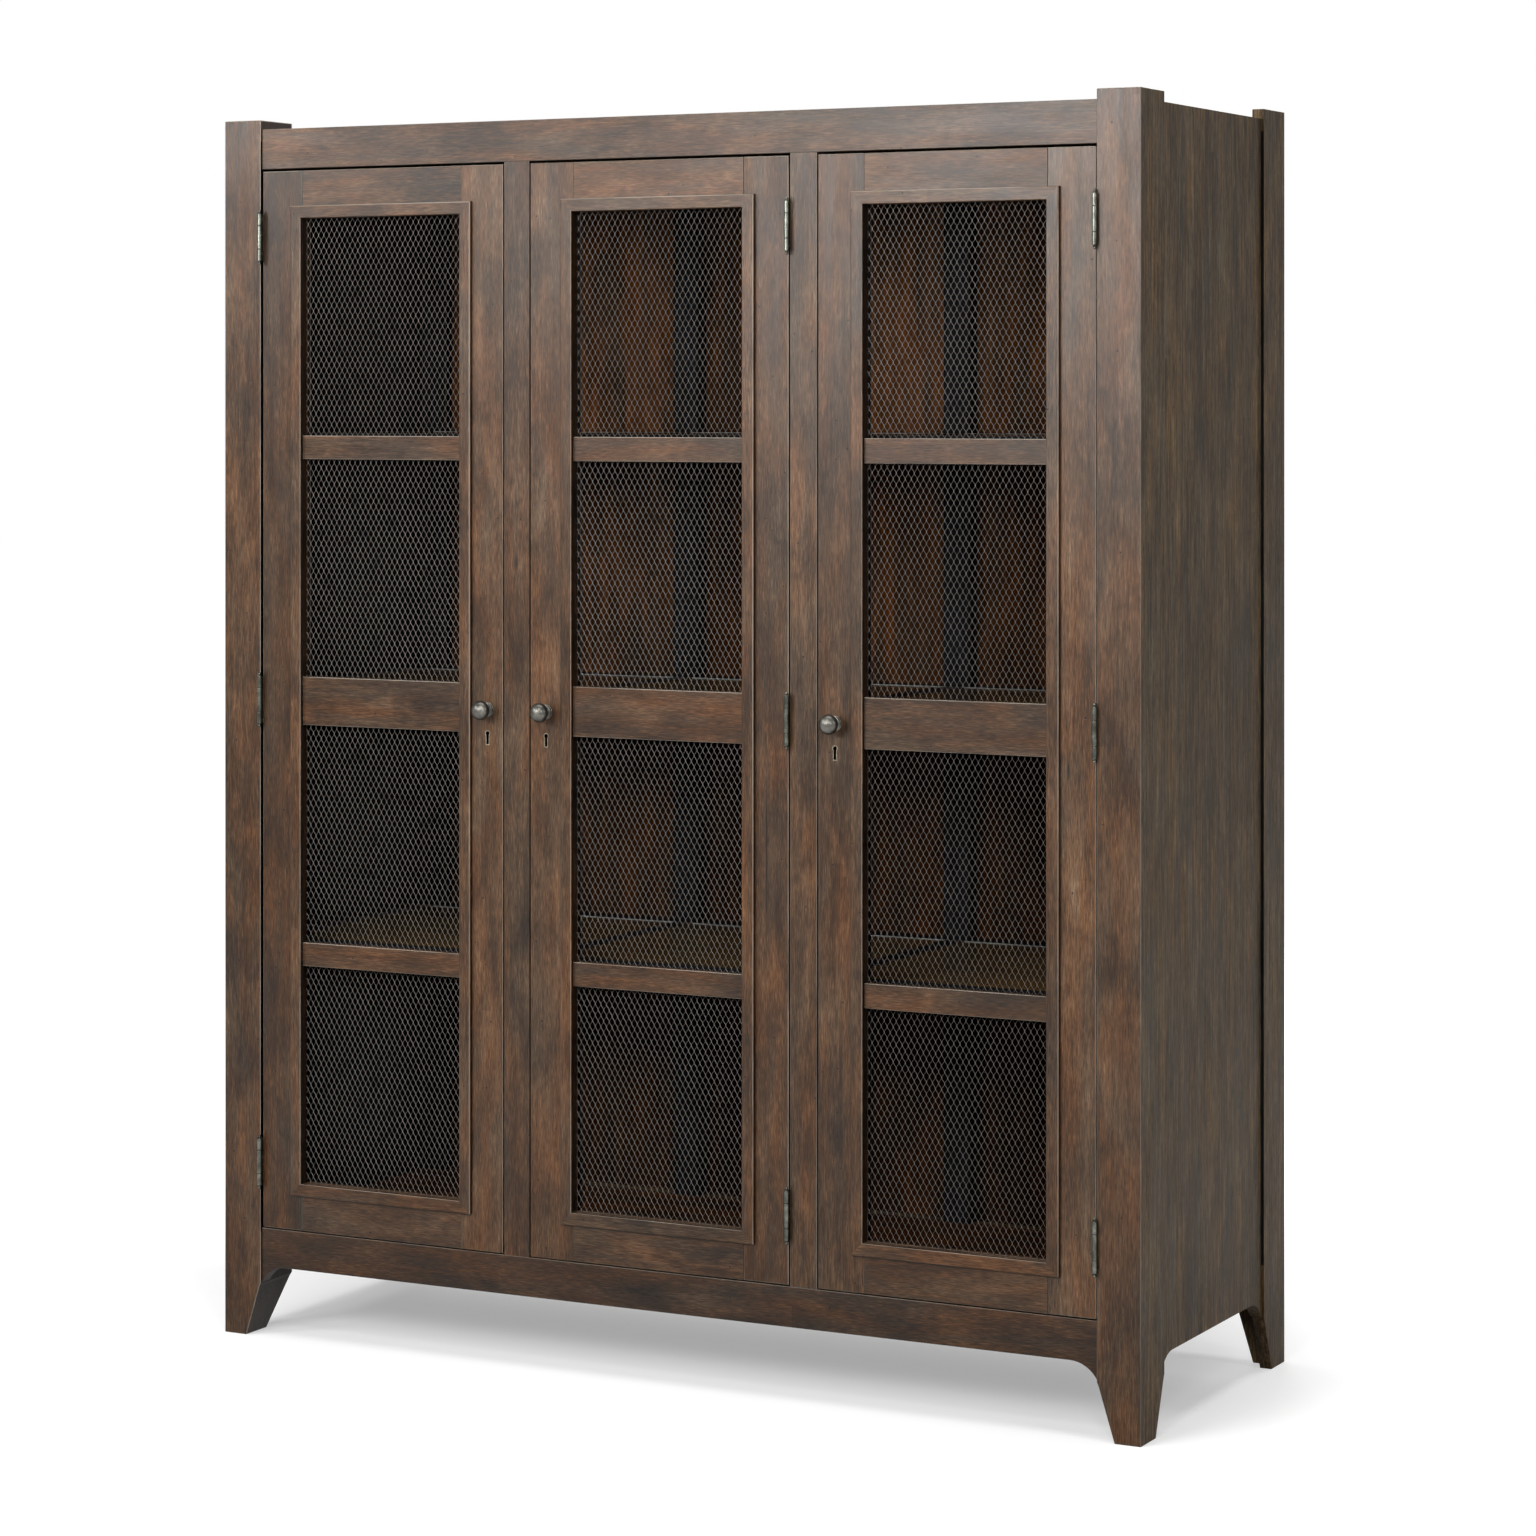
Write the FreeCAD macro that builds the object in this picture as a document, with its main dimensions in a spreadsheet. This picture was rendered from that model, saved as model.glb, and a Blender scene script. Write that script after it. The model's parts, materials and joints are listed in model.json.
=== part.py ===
import FreeCAD, Part
import os
import re

# Three-door dining cabinet. Millimetres, +Z up, front towards -Y.
# The origin lies on the floor under the middle of the whole, knobs included.

document = FreeCAD.newDocument("dining_cabinet")
Vector = FreeCAD.Vector
Rotation = FreeCAD.Rotation

# Driving sizes, each written once
DRIVING = {
    # case
    "caseDepth": 600,
    "caseHeight": 1980,
    "postWidth": 70,
    "postDepth": 92,
    "footWidth": 42,
    "footDepth": 58,
    "taperHeight": 90,
    "postRise": 15,
    "openingWidth": 460,
    "mullionWidth": 46,
    "mullionDepth": 56,
    "railThickness": 24,
    "railSetback": 4,
    "topRailHeight": 65,
    "bottomRailHeight": 62,
    "archHeight": 114,
    "archRadius": 50,
    "panelThickness": 20,
    "sideSetback": 5,
    "sideBoardThickness": 20,
    "backBoardThickness": 22,
    "backPanelThickness": 8,
    "backPanelLift": 8,
    "backStileDepth": 34,
    "shelfThickness": 20,
    "lowestShelf": 640,
    "shelfPitch": 415,
    "cleatHeight": 24,
    "cleatThickness": 18,
    "catchWidth": 12,
    "catchDepth": 20,
    "catchHeight": 46,
    "catchDrop": 210,
    # doors
    "doorThickness": 24,
    "doorTopGap": 4,
    "doorBottomGap": 2,
    "hingeGap": 2.4,
    "freeGap": 2.6,
    "frameWidth": 77,
    "lipThickness": 12,
    "rebateWidth": 8,
    "narrowBar": 38,
    "wideBar": 78,
    "beadWidth": 20,
    "beadRise": 7,
    "meshThickness": 1.5,
    "meshStrand": 5,
    "meshColumns": 7,
    "meshRows": 19,
    # hinges
    "hingeInset": 107,
    "barrelRadius": 4,
    "barrelLength": 76,
    "endKnuckle": 19,
    "pinRadius": 2.25,
    "finialRadius": 3.4,
    "leafThickness": 1,
    "leafReach": 20,
    # knobs and locks
    "knobInset": 28,
    "knobLevel": 1035,
    "knobRadius": 15.5,
    "knobHeadDepth": 20,
    "knobProjection": 34,
    "neckRadius": 5.5,
    "collarRadius": 8.5,
    "collarBead": 1.8,
    "roseRadius": 12,
    "roseThickness": 3,
    "keyholeDrop": 44.5,
    "keyRadius": 3.5,
    "keySlotWidth": 4.4,
    "keySlotLength": 17,
    "linerWall": 1,
    "lockWidth": 50,
    "lockHeight": 50,
    "lockThickness": 11,
    "boltHeight": 9,
    "boltThickness": 6,
    "boltLength": 30,
    "boltTravel": 8,
    # clearances
    "shelfFit": 0.5,
    "pinFit": 0.05,
    "knuckleFit": 0.3,
    "barrelFit": 0.5,
    "boltFit": 0.4,
    "pocketFit": 1.2,
    "catchFit": 0.3,
    "cutOverrun": 2,
}

# Places and lengths worked out from the driving sizes
DERIVED = {
    "caseWidth": "2 * postWidth + 3 * openingWidth + 2 * mullionWidth",
    "halfWidth": "caseWidth / 2",
    "halfDepth": "caseDepth / 2",
    "postInner": "halfWidth - postWidth",
    "postBack": "postDepth - halfDepth",
    "railTop": "caseHeight - postRise",
    "openTop": "railTop - topRailHeight",
    "openBottom": "archHeight + bottomRailHeight",
    "toeHeight": "archHeight - archRadius",
    "frontFace": "railSetback - halfDepth",
    "railBack": "frontFace + railThickness",
    "sideInner": "halfWidth - sideSetback - panelThickness",
    "topUnder": "railTop - panelThickness",
    "floorUnder": "openBottom - panelThickness",
    "backPanelFace": "halfDepth - backPanelThickness",
    "backBoardFace": "backPanelFace - backBoardThickness",
    "backStileFace": "backPanelFace - backStileDepth",
    "mullionBack": "frontFace + mullionDepth",
    "doorWidth": "openingWidth - hingeGap - freeGap",
    "doorBottom": "openBottom + doorBottomGap",
    "doorTop": "openTop - doorTopGap",
    "doorHeight": "doorTop - doorBottom",
    "doorBack": "frontFace + doorThickness",
    "lipBack": "frontFace + lipThickness",
    "catchLevel": "doorTop - catchDrop - catchHeight",
    "paneWidth": "doorWidth - 2 * frameWidth",
    "paneHeight": "doorHeight - 2 * frameWidth",
    "paneBottom": "doorBottom + frameWidth",
    "smallPane": "(paneHeight - 2 * narrowBar - wideBar) / 4",
    "meshBack": "lipBack + meshThickness",
    "axisPlace": "-halfDepth - barrelRadius - barrelFit",
    "boreRadius": "pinRadius + pinFit",
    "keyLevel": "knobLevel - keyholeDrop",
    "lockFace": "doorBack - lockThickness",
    "lockBottom": "keyLevel - lockHeight / 2",
    "boltMiddle": "lockFace + lockThickness / 2",
    "legSlope": "(postWidth - footWidth) / taperHeight",
    "sideSlope": "(postDepth - footDepth) / taperHeight",
    "frontReach": "knobProjection - railSetback",
}

sizes = document.addObject("Spreadsheet::Sheet", "Sizes")
for row, (alias, value) in enumerate(DRIVING.items(), start=1):
    cell = "B" + str(row)
    sizes.set("A" + str(row), alias)
    sizes.set(cell, str(value))
    sizes.setAlias(cell, alias)
document.recompute()

places = document.addObject("App::VarSet", "Places")


def linked(text):
    """Point each size or place named in the text at its sheet or set."""
    def owner(match):
        word = match.group(0)
        if word in DRIVING:
            return "Sizes." + word
        if word in DERIVED:
            return "Places." + word
        return word
    return re.sub(r"[A-Za-z]+", owner, text)


for alias, formula in DERIVED.items():
    places.addProperty("App::PropertyFloat", alias)
    places.setExpression(alias, linked(formula))
document.recompute()


def size(alias):
    """The number that a size or place has now."""
    if alias in DRIVING:
        return float(sizes.get(alias))
    return float(getattr(places, alias))


# Building blocks bound to the sheet

def bind(item, **formulas):
    for name, formula in formulas.items():
        item.setExpression(name, linked(str(formula)))
    return item


def put(item, x, y, z, rotation=None):
    if rotation is not None:
        item.Placement = FreeCAD.Placement(Vector(), rotation)
    for axis, formula in zip("xyz", (x, y, z)):
        item.setExpression("Placement.Base." + axis, linked(str(formula)))
    return item


def block(name, x, y, z, along_x, along_y, along_z):
    item = document.addObject("Part::Box", name)
    bind(item, Length=along_x, Width=along_y, Height=along_z)
    return put(item, x, y, z)


def rod(name, x, y, z, radius, length, rotation=None):
    item = document.addObject("Part::Cylinder", name)
    bind(item, Radius=radius, Height=length)
    return put(item, x, y, z, rotation)


def ball(name, x, y, z, radius):
    item = document.addObject("Part::Sphere", name)
    bind(item, Radius=radius)
    return put(item, x, y, z)


def wedge(name, bottom, top, rise, depth, rotation):
    """A trapezium: bottom and top are its ends, rise its height, depth its thickness."""
    item = document.addObject("Part::Wedge", name)
    bind(item, Xmin=bottom[0], Xmax=bottom[1], X2min=top[0], X2max=top[1])
    bind(item, Ymin=rise[0], Ymax=rise[1])
    bind(item, Zmin=depth[0], Zmax=depth[1], Z2min=depth[0], Z2max=depth[1])
    item.Placement = FreeCAD.Placement(Vector(), rotation)
    return item


def joined(name, pieces):
    item = document.addObject("Part::MultiFuse", name)
    item.Shapes = pieces
    return item


def less(name, base, *cutters):
    for place, cutter in enumerate(cutters, start=1):
        last = place == len(cutters)
        item = document.addObject("Part::Cut", name if last else name + "_cut_" + str(place))
        item.Base = base
        item.Tool = cutter
        base = item
    return base


def gathered(name, pieces):
    item = document.addObject("Part::Compound", name)
    item.Links = pieces
    return item


nodes = []


def node(name, item):
    """A finished sub-part, moved so that the origin is under the middle of the whole."""
    item.Label = name
    bound = dict(item.ExpressionEngine)
    place = bound.get(".Placement.Base.y", bound.get("Placement.Base.y", "0"))
    item.setExpression("Placement.Base.y", "(" + place + ") + Places.frontReach / 2")
    nodes.append(item)
    return item


FORWARD = Rotation(Vector(1, 0, 0), 90)
LENGTH_TO_Y = Rotation(Vector(1, 1, 1), 120)
LENGTH_TO_Z = Rotation(Vector(1, 1, 1), -120)


# The spaces between the feet, tapered down the legs and rounded into the rails

def arch(name, half, foot, slope, depth, rotation):
    wide = "(" + half + " - " + foot + " + cutOverrun * " + slope + ")"
    narrow = "(" + half + " - " + foot + " - archHeight * " + slope + ")"
    reach = "(" + depth + " + cutOverrun)"
    plain = wedge(name + "_plain", ("-" + wide, wide), ("-" + narrow, narrow),
                  ("-cutOverrun", "archHeight"), ("-" + reach, reach), rotation)
    document.recompute()
    corners = []
    for index, edge in enumerate(plain.Shape.Edges, start=1):
        box = edge.BoundBox
        along_depth = box.XLength if rotation is LENGTH_TO_Y else box.YLength
        if box.ZMin > size("archHeight") / 2 and along_depth > size("archHeight"):
            corners.append((index, size("archRadius"), size("archRadius")))
    rounded = document.addObject("Part::Fillet", name)
    rounded.Base = plain
    rounded.Edges = corners
    return rounded


front_arch = arch("front_arch", "halfWidth", "footWidth", "legSlope", "halfDepth", FORWARD)
side_arch = arch("side_arch", "halfDepth", "footDepth", "sideSlope", "halfWidth", LENGTH_TO_Y)

SIDES = {"left": "-", "right": ""}


def toward(side, near, length):
    """Left end of a piece that starts at near from the middle and runs outward."""
    if side == "left":
        return "-(" + near + ") - (" + length + ")"
    return near


# Posts, rails and panels of the case

def front_post(side):
    name = "front_post_" + side
    blank = block(name + "_blank", toward(side, "postInner", "postWidth"), "-halfDepth", 0,
                  "postWidth", "postDepth", "caseHeight")
    node(name, less(name, blank, front_arch, side_arch))


def back_post(side):
    """A side board and a back board that meet at the corner."""
    name = "back_post_" + side
    board = block(name + "_board", toward(side, "halfWidth - sideBoardThickness", "sideBoardThickness"),
                  "halfDepth - postDepth", 0, "sideBoardThickness", "postDepth", "caseHeight")
    inner = block(name + "_inner", toward(side, "postInner", "postWidth - sideBoardThickness"),
                  "backBoardFace", 0, "postWidth - sideBoardThickness", "backBoardThickness", "railTop")
    node(name, gathered(name, [less(name + "_side", board, side_arch),
                               less(name + "_back", inner, front_arch)]))


def side_panel(side):
    name = "side_panel_" + side
    blank = block(name + "_blank", toward(side, "sideInner", "panelThickness"), "postBack", "toeHeight",
                  "panelThickness", "caseDepth - 2 * postDepth", "railTop - toeHeight")
    node(name, less(name, blank, side_arch))


for side in SIDES:
    front_post(side)
    back_post(side)
    side_panel(side)

node("top_rail", block("top_rail", "-postInner", "frontFace", "openTop",
                       "2 * postInner", "railThickness", "topRailHeight"))
bottom_blank = block("bottom_rail_blank", "-postInner", "frontFace", "toeHeight",
                     "2 * postInner", "railThickness", "openBottom - toeHeight")
node("bottom_rail", less("bottom_rail", bottom_blank, front_arch))


def deck(name, under):
    """A board that fills the case from rail to rail, cut round the front posts."""
    middle = block(name + "_middle", "-sideInner", "postBack", under,
                   "2 * sideInner", "backBoardFace - postBack", "panelThickness")
    front = block(name + "_front", "-postInner", "railBack", under,
                  "2 * postInner", "postBack - railBack", "panelThickness")
    node(name, joined(name, [middle, front]))


deck("top_panel", "topUnder")
deck("floor_panel", "floorUnder")

node("back_rail_top", block("back_rail_top", "-postInner", "backBoardFace", "openTop",
                            "2 * postInner", "backBoardThickness", "topRailHeight"))
back_blank = block("back_rail_bottom_blank", "-postInner", "backBoardFace", "toeHeight",
                   "2 * postInner", "backBoardThickness", "openBottom - toeHeight")
node("back_rail_bottom", less("back_rail_bottom", back_blank, front_arch))
node("back_panel", block("back_panel", "sideBoardThickness - halfWidth", "backPanelFace",
                         "archHeight + backPanelLift", "caseWidth - 2 * sideBoardThickness",
                         "backPanelThickness", "railTop - archHeight - backPanelLift"))


# The three openings, from left to right

class Opening:
    def __init__(self, name, place, hinge):
        self.name = name
        self.hinge = hinge
        step = str(place) + " * (openingWidth + mullionWidth)"
        self.left = "(-postInner + " + step + ")"
        self.right = "(-postInner + openingWidth + " + step + ")"

    def run(self, start, length):
        """Left end of a piece that starts at start from the hinged edge of the opening."""
        if self.hinge == "left":
            return self.left + " + (" + start + ")"
        return self.right + " - (" + start + ") - (" + length + ")"


OPENINGS = [Opening("left", 0, "left"), Opening("centre", 1, "right"), Opening("right", 2, "right")]

# Upright members between the openings, with pockets for the lock bolts
POCKETS = {"left": [OPENINGS[0], OPENINGS[1]], "right": [OPENINGS[2]]}


def bolt_pocket(name, opening):
    length = "(boltTravel + pocketFit + cutOverrun)"
    return block(name, opening.run("openingWidth - cutOverrun", length),
                 "boltMiddle - boltThickness / 2 - pocketFit",
                 "keyLevel - boltHeight / 2 - pocketFit", length,
                 "boltThickness + 2 * pocketFit", "boltHeight + 2 * pocketFit")


def upright_place(side):
    return OPENINGS[0].right if side == "left" else OPENINGS[1].right


for side in SIDES:
    name = "mullion_" + side
    blank = block(name + "_blank", upright_place(side), "frontFace", "openBottom",
                  "mullionWidth", "mullionDepth", "openTop - openBottom")
    cutters = [bolt_pocket(name + "_pocket_" + each.name, each) for each in POCKETS[side]]
    node(name, less(name, blank, *cutters))
    name = "back_stile_" + side
    node(name, block(name, upright_place(side), "backStileFace", "openBottom",
                     "mullionWidth", "backStileDepth", "openTop - openBottom"))


# Shelves, notched round the posts and back stiles, on cleats

SHELVES = ["lower", "middle", "upper"]


def shelf(name, level):
    under = "(lowestShelf - shelfThickness + " + str(level) + " * shelfPitch)"
    blank = block(name + "_blank", "shelfFit - sideInner", "mullionBack + shelfFit", under,
                  "2 * sideInner - 2 * shelfFit", "backPanelFace - mullionBack - 2 * shelfFit",
                  "shelfThickness")
    cutters = []
    corner = "postWidth"
    for side in SIDES:
        cutters.append(block(name + "_front_" + side, toward(side, "postInner - shelfFit", corner),
                             "-halfDepth", under + " - cutOverrun", corner,
                             "postDepth + shelfFit", "shelfThickness + 2 * cutOverrun"))
        cutters.append(block(name + "_back_" + side, toward(side, "postInner - shelfFit", corner),
                             "backBoardFace - shelfFit", under + " - cutOverrun", corner,
                             "backBoardThickness + cutOverrun", "shelfThickness + 2 * cutOverrun"))
        cutters.append(block(name + "_stile_" + side, upright_place(side) + " - shelfFit",
                             "backStileFace - shelfFit", under + " - cutOverrun",
                             "mullionWidth + 2 * shelfFit", "backStileDepth + cutOverrun",
                             "shelfThickness + 2 * cutOverrun"))
    node(name, less(name, blank, *cutters))


cleats = []
for level, level_name in enumerate(SHELVES):
    shelf("shelf_" + level_name, level)
    foot = "lowestShelf - shelfThickness - cleatHeight + " + str(level) + " * shelfPitch"
    for side in SIDES:
        name = "cleat_" + level_name + "_" + side
        cleats.append(block(name + "_end", toward(side, "sideInner - cleatThickness", "cleatThickness"),
                            "postBack", foot, "cleatThickness", "backBoardFace - postBack",
                            "cleatHeight"))
        cleats.append(block(name + "_front", upright_place(side), "mullionBack", foot,
                            "mullionWidth", "cleatThickness", "cleatHeight"))
        cleats.append(block(name + "_back", upright_place(side), "backStileFace - cleatThickness",
                            foot, "mullionWidth", "cleatThickness", "cleatHeight"))
node("shelf_cleats", gathered("shelf_cleats", cleats))

# Magnetic catches on the uprights, behind the free edge of each door
catches = [block("catch_" + each.name, each.run("openingWidth - catchWidth", "catchWidth"),
                 "doorBack + catchFit", "catchLevel", "catchWidth", "catchDepth", "catchHeight")
           for each in OPENINGS]
node("door_catches", gathered("door_catches", catches))


# Hinges: three loose-pin butts to a door, with a long middle knuckle

def hinge_levels():
    return {"low": "(doorBottom + hingeInset)", "middle": "(doorBottom + doorHeight / 2)",
            "high": "(doorTop - hingeInset)"}


def axis_of(opening):
    return opening.run("hingeGap / 2", "0")


def leaf(name, opening, level, start, knuckles, gaps):
    """A leaf: plate in the door gap, knuckles on the axis, room for the other leaf's."""
    plate = block(name + "_plate", opening.run(start, "leafThickness"),
                  "axisPlace + (boreRadius + barrelRadius) / 2", level + " - barrelLength / 2",
                  "leafThickness", "railSetback + barrelFit + leafReach", "barrelLength")
    cutters = []
    for number, (low, length) in enumerate(gaps, start=1):
        cutters.append(block(name + "_gap_" + str(number),
                             opening.run(start + " - cutOverrun", "leafThickness + 2 * cutOverrun"),
                             "axisPlace", low, "leafThickness + 2 * cutOverrun",
                             "barrelRadius + knuckleFit", length))
    tubes = [rod(name + "_tube_" + str(number), axis_of(opening), "axisPlace", low,
                 "barrelRadius", length)
             for number, (low, length) in enumerate(knuckles, start=1)]
    whole = joined(name + "_whole", [less(name + "_open", plate, *cutters)] + tubes)
    bore = rod(name + "_bore", axis_of(opening), "axisPlace",
               level + " - barrelLength / 2 - cutOverrun", "boreRadius",
               "barrelLength + 2 * cutOverrun")
    return less(name, whole, bore)


def hinge(opening, level_name, level):
    """The two leaves and the pin of one hinge."""
    name = "hinge_" + opening.name + "_" + level_name
    bottom = level + " - barrelLength / 2"
    ends = [(bottom, "endKnuckle - knuckleFit"),
            (level + " + barrelLength / 2 - endKnuckle + knuckleFit", "endKnuckle - knuckleFit")]
    middle = [(bottom + " + endKnuckle", "barrelLength - 2 * endKnuckle")]
    end_gaps = [(bottom + " - cutOverrun", "endKnuckle + cutOverrun"),
                (level + " + barrelLength / 2 - endKnuckle", "endKnuckle + cutOverrun")]
    middle_gap = [(bottom + " + endKnuckle - knuckleFit",
                   "barrelLength - 2 * endKnuckle + 2 * knuckleFit")]
    fixed = leaf(name + "_fixed", opening, level, "0", ends, middle_gap)
    moving = leaf(name + "_moving", opening, level, "hingeGap - leafThickness", middle, end_gaps)
    shaft = rod(name + "_shaft", axis_of(opening), "axisPlace", bottom, "pinRadius", "barrelLength")
    tips = [ball(name + "_tip_low", axis_of(opening), "axisPlace",
                 bottom + " - finialRadius + pinRadius / 4", "finialRadius"),
            ball(name + "_tip_high", axis_of(opening), "axisPlace",
                 level + " + barrelLength / 2 + finialRadius - pinRadius / 4", "finialRadius")]
    return fixed, moving, joined(name + "_pin", [shaft] + tips)


fixed_leaves = []
pins = []


# Doors

def stile(name, opening, start, rebate_start, *cutters):
    """One upright of the frame, with the mesh rebate along its inner edge."""
    blank = block(name + "_blank", opening.run(start, "frameWidth"), "frontFace", "doorBottom",
                  "frameWidth", "doorThickness", "doorHeight")
    rebate = block(name + "_rebate", opening.run(rebate_start, "rebateWidth + cutOverrun"),
                   "lipBack", "paneBottom - rebateWidth", "rebateWidth + cutOverrun",
                   "doorThickness - lipThickness + cutOverrun", "paneHeight + 2 * rebateWidth")
    node(name, less(name, blank, rebate, *cutters))


def door_rail(name, opening, bottom, rebate_bottom):
    blank = block(name + "_blank", opening.run("hingeGap + frameWidth", "paneWidth"), "frontFace",
                  bottom, "paneWidth", "doorThickness", "frameWidth")
    rebate = block(name + "_rebate",
                   opening.run("hingeGap + frameWidth - cutOverrun", "paneWidth + 2 * cutOverrun"),
                   "lipBack", rebate_bottom, "paneWidth + 2 * cutOverrun",
                   "doorThickness - lipThickness + cutOverrun", "rebateWidth + cutOverrun")
    node(name, less(name, blank, rebate))


def crossbars(opening):
    name = "crossbars_" + opening.name
    heights = {"low": ("paneBottom + smallPane", "narrowBar"),
               "middle": ("paneBottom + 2 * smallPane + narrowBar", "wideBar"),
               "high": ("paneBottom + 3 * smallPane + narrowBar + wideBar", "narrowBar")}
    bars = [block(name + "_" + place, opening.run("hingeGap + frameWidth", "paneWidth"), "frontFace",
                  bottom, "paneWidth", "lipThickness", height)
            for place, (bottom, height) in heights.items()]
    node(name, gathered(name, bars))


def bead(opening):
    """Four mitred strips that stand on the frame round its opening."""
    name = "bead_" + opening.name
    across = "(paneWidth + 2 * beadWidth)"
    upward = "(paneHeight + 2 * beadWidth)"
    left = opening.run("hingeGap + frameWidth - beadWidth", across)
    right = left + " + " + across + " - beadWidth"
    low = "paneBottom - beadWidth"
    high = "paneBottom + paneHeight"
    outer = {"x": ("0", across), "z": ("0", upward)}
    inner = {"x": ("beadWidth", across + " - beadWidth"), "z": ("beadWidth", upward + " - beadWidth")}
    rise = ("0", "beadWidth")
    strips = [
        put(wedge(name + "_low", outer["x"], inner["x"], rise, ("0", "beadRise"), FORWARD),
            left, "frontFace", low),
        put(wedge(name + "_high", inner["x"], outer["x"], rise, ("0", "beadRise"), FORWARD),
            left, "frontFace", high),
        put(wedge(name + "_left", outer["z"], inner["z"], rise, ("-beadRise", "0"), LENGTH_TO_Z),
            left, "frontFace", low),
        put(wedge(name + "_right", inner["z"], outer["z"], rise, ("-beadRise", "0"), LENGTH_TO_Z),
            right, "frontFace", low),
    ]
    node(name, gathered(name, strips))


def mesh_strips(opening):
    """Strips in the rebate that hold the mesh against the frame's lip."""
    name = "mesh_strips_" + opening.name
    depth = "doorThickness - lipThickness - meshThickness"
    start = "hingeGap + frameWidth - rebateWidth"
    upward = "paneHeight + 2 * rebateWidth"
    low = "paneBottom - rebateWidth"
    strips = [block(name + "_near", opening.run(start, "rebateWidth"), "meshBack", low,
                    "rebateWidth", depth, upward),
              block(name + "_far", opening.run(start + " + rebateWidth + paneWidth", "rebateWidth"),
                    "meshBack", low, "rebateWidth", depth, upward),
              block(name + "_low", opening.run("hingeGap + frameWidth", "paneWidth"), "meshBack",
                    low, "paneWidth", depth, "rebateWidth"),
              block(name + "_high", opening.run("hingeGap + frameWidth", "paneWidth"), "meshBack",
                    "paneBottom + paneHeight", "paneWidth", depth, "rebateWidth")]
    node(name, gathered(name, strips))


def polygon(points):
    """A closed flat wire in the mesh's plane through the points."""
    path = [Vector(x, 0, z) for x, z in points]
    return Part.makePolygon(path + path[:1])


def mesh_face():
    """The mesh sheet about its lower left corner: one face with diamond gaps."""
    wide = size("paneWidth")
    tall = size("paneHeight")
    lap = size("rebateWidth") - size("shelfFit")
    columns = int(size("meshColumns"))
    rows = int(size("meshRows"))
    half_x = wide / columns / 2
    half_z = tall / rows / 2
    reach = half_x * half_z / (half_x ** 2 + half_z ** 2) ** 0.5
    scale = 1 - size("meshStrand") / 2 / reach
    dx = half_x * scale
    dz = half_z * scale
    gaps = []
    for column in range(2 * columns + 1):
        for row in range(2 * rows + 1):
            inside = 0 < column < 2 * columns and 0 < row < 2 * rows
            corner = column in (0, 2 * columns) and row in (0, 2 * rows)
            if (column + row) % 2 or corner or not inside and column % 2 == 0 and row % 2:
                continue
            x = column * half_x
            z = row * half_z
            points = [(x - dx, z), (x, z - dz), (x + dx, z), (x, z + dz)]
            if column == 0:
                points = points[1:]
            elif column == 2 * columns:
                points = [points[0], points[1], points[3]]
            elif row == 0:
                points = [points[0], points[2], points[3]]
            elif row == 2 * rows:
                points = points[:3]
            gaps.append(polygon(points))
    edge = polygon([(-lap, -lap), (wide + lap, -lap), (wide + lap, tall + lap), (-lap, tall + lap)])
    return Part.makeFace([edge] + gaps, "Part::FaceMakerBullseye"), len(gaps)


mesh_sheet, gap_count = mesh_face()
print("gaps in each mesh:", gap_count)


def mesh_panel(opening):
    name = "mesh_panel_" + opening.name
    item = document.addObject("Part::Feature", name)
    item.Shape = mesh_sheet.extrude(Vector(0, size("meshThickness"), 0))
    put(item, opening.run("hingeGap + frameWidth", "paneWidth"), "lipBack", "paneBottom")
    node(name, item)


def knob(opening):
    """A mushroom knob on a beaded neck and a round rose."""
    name = "knob_" + opening.name
    middle = opening.run("hingeGap + doorWidth - knobInset", "0")
    rose = rod(name + "_rose", middle, "frontFace", "knobLevel", "roseRadius", "roseThickness", FORWARD)
    neck = rod(name + "_neck", middle, "frontFace", "knobLevel", "neckRadius",
               "knobProjection - knobHeadDepth / 2", FORWARD)
    collar = document.addObject("Part::Torus", name + "_collar")
    bind(collar, Radius1="collarRadius - collarBead", Radius2="collarBead")
    put(collar, middle, "frontFace - knobProjection + knobHeadDepth + collarBead / 2", "knobLevel",
        FORWARD)
    head = document.addObject("Part::Ellipsoid", name + "_head")
    bind(head, Radius1="knobHeadDepth / 2", Radius2="knobRadius", Radius3="knobRadius")
    put(head, middle, "frontFace - knobProjection + knobHeadDepth / 2", "knobLevel", FORWARD)
    cap = rod(name + "_cap", middle, "frontFace - roseThickness", "knobLevel",
              "collarRadius", "knobProjection - knobHeadDepth - roseThickness - collarBead", FORWARD)
    node(name, joined(name, [rose, neck, collar, cap, head]))


def keyhole(name, opening, wall, face, depth):
    """A round eye over a slot, larger all round by the wall, running backward from the face."""
    middle = opening.run("hingeGap + doorWidth - knobInset", "0")
    eye_level = "keyLevel + keySlotLength / 2 - keyRadius / 2"
    eye = rod(name + "_eye", middle, face + " + " + depth, eye_level, "keyRadius + " + wall, depth, FORWARD)
    slot_width = "(keySlotWidth + 2 * " + wall + ")"
    slot = block(name + "_slot", middle + " - " + slot_width + " / 2", face,
                 eye_level + " - keySlotLength - " + wall, slot_width, depth,
                 "keySlotLength + " + wall)
    return joined(name, [eye, slot])


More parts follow.
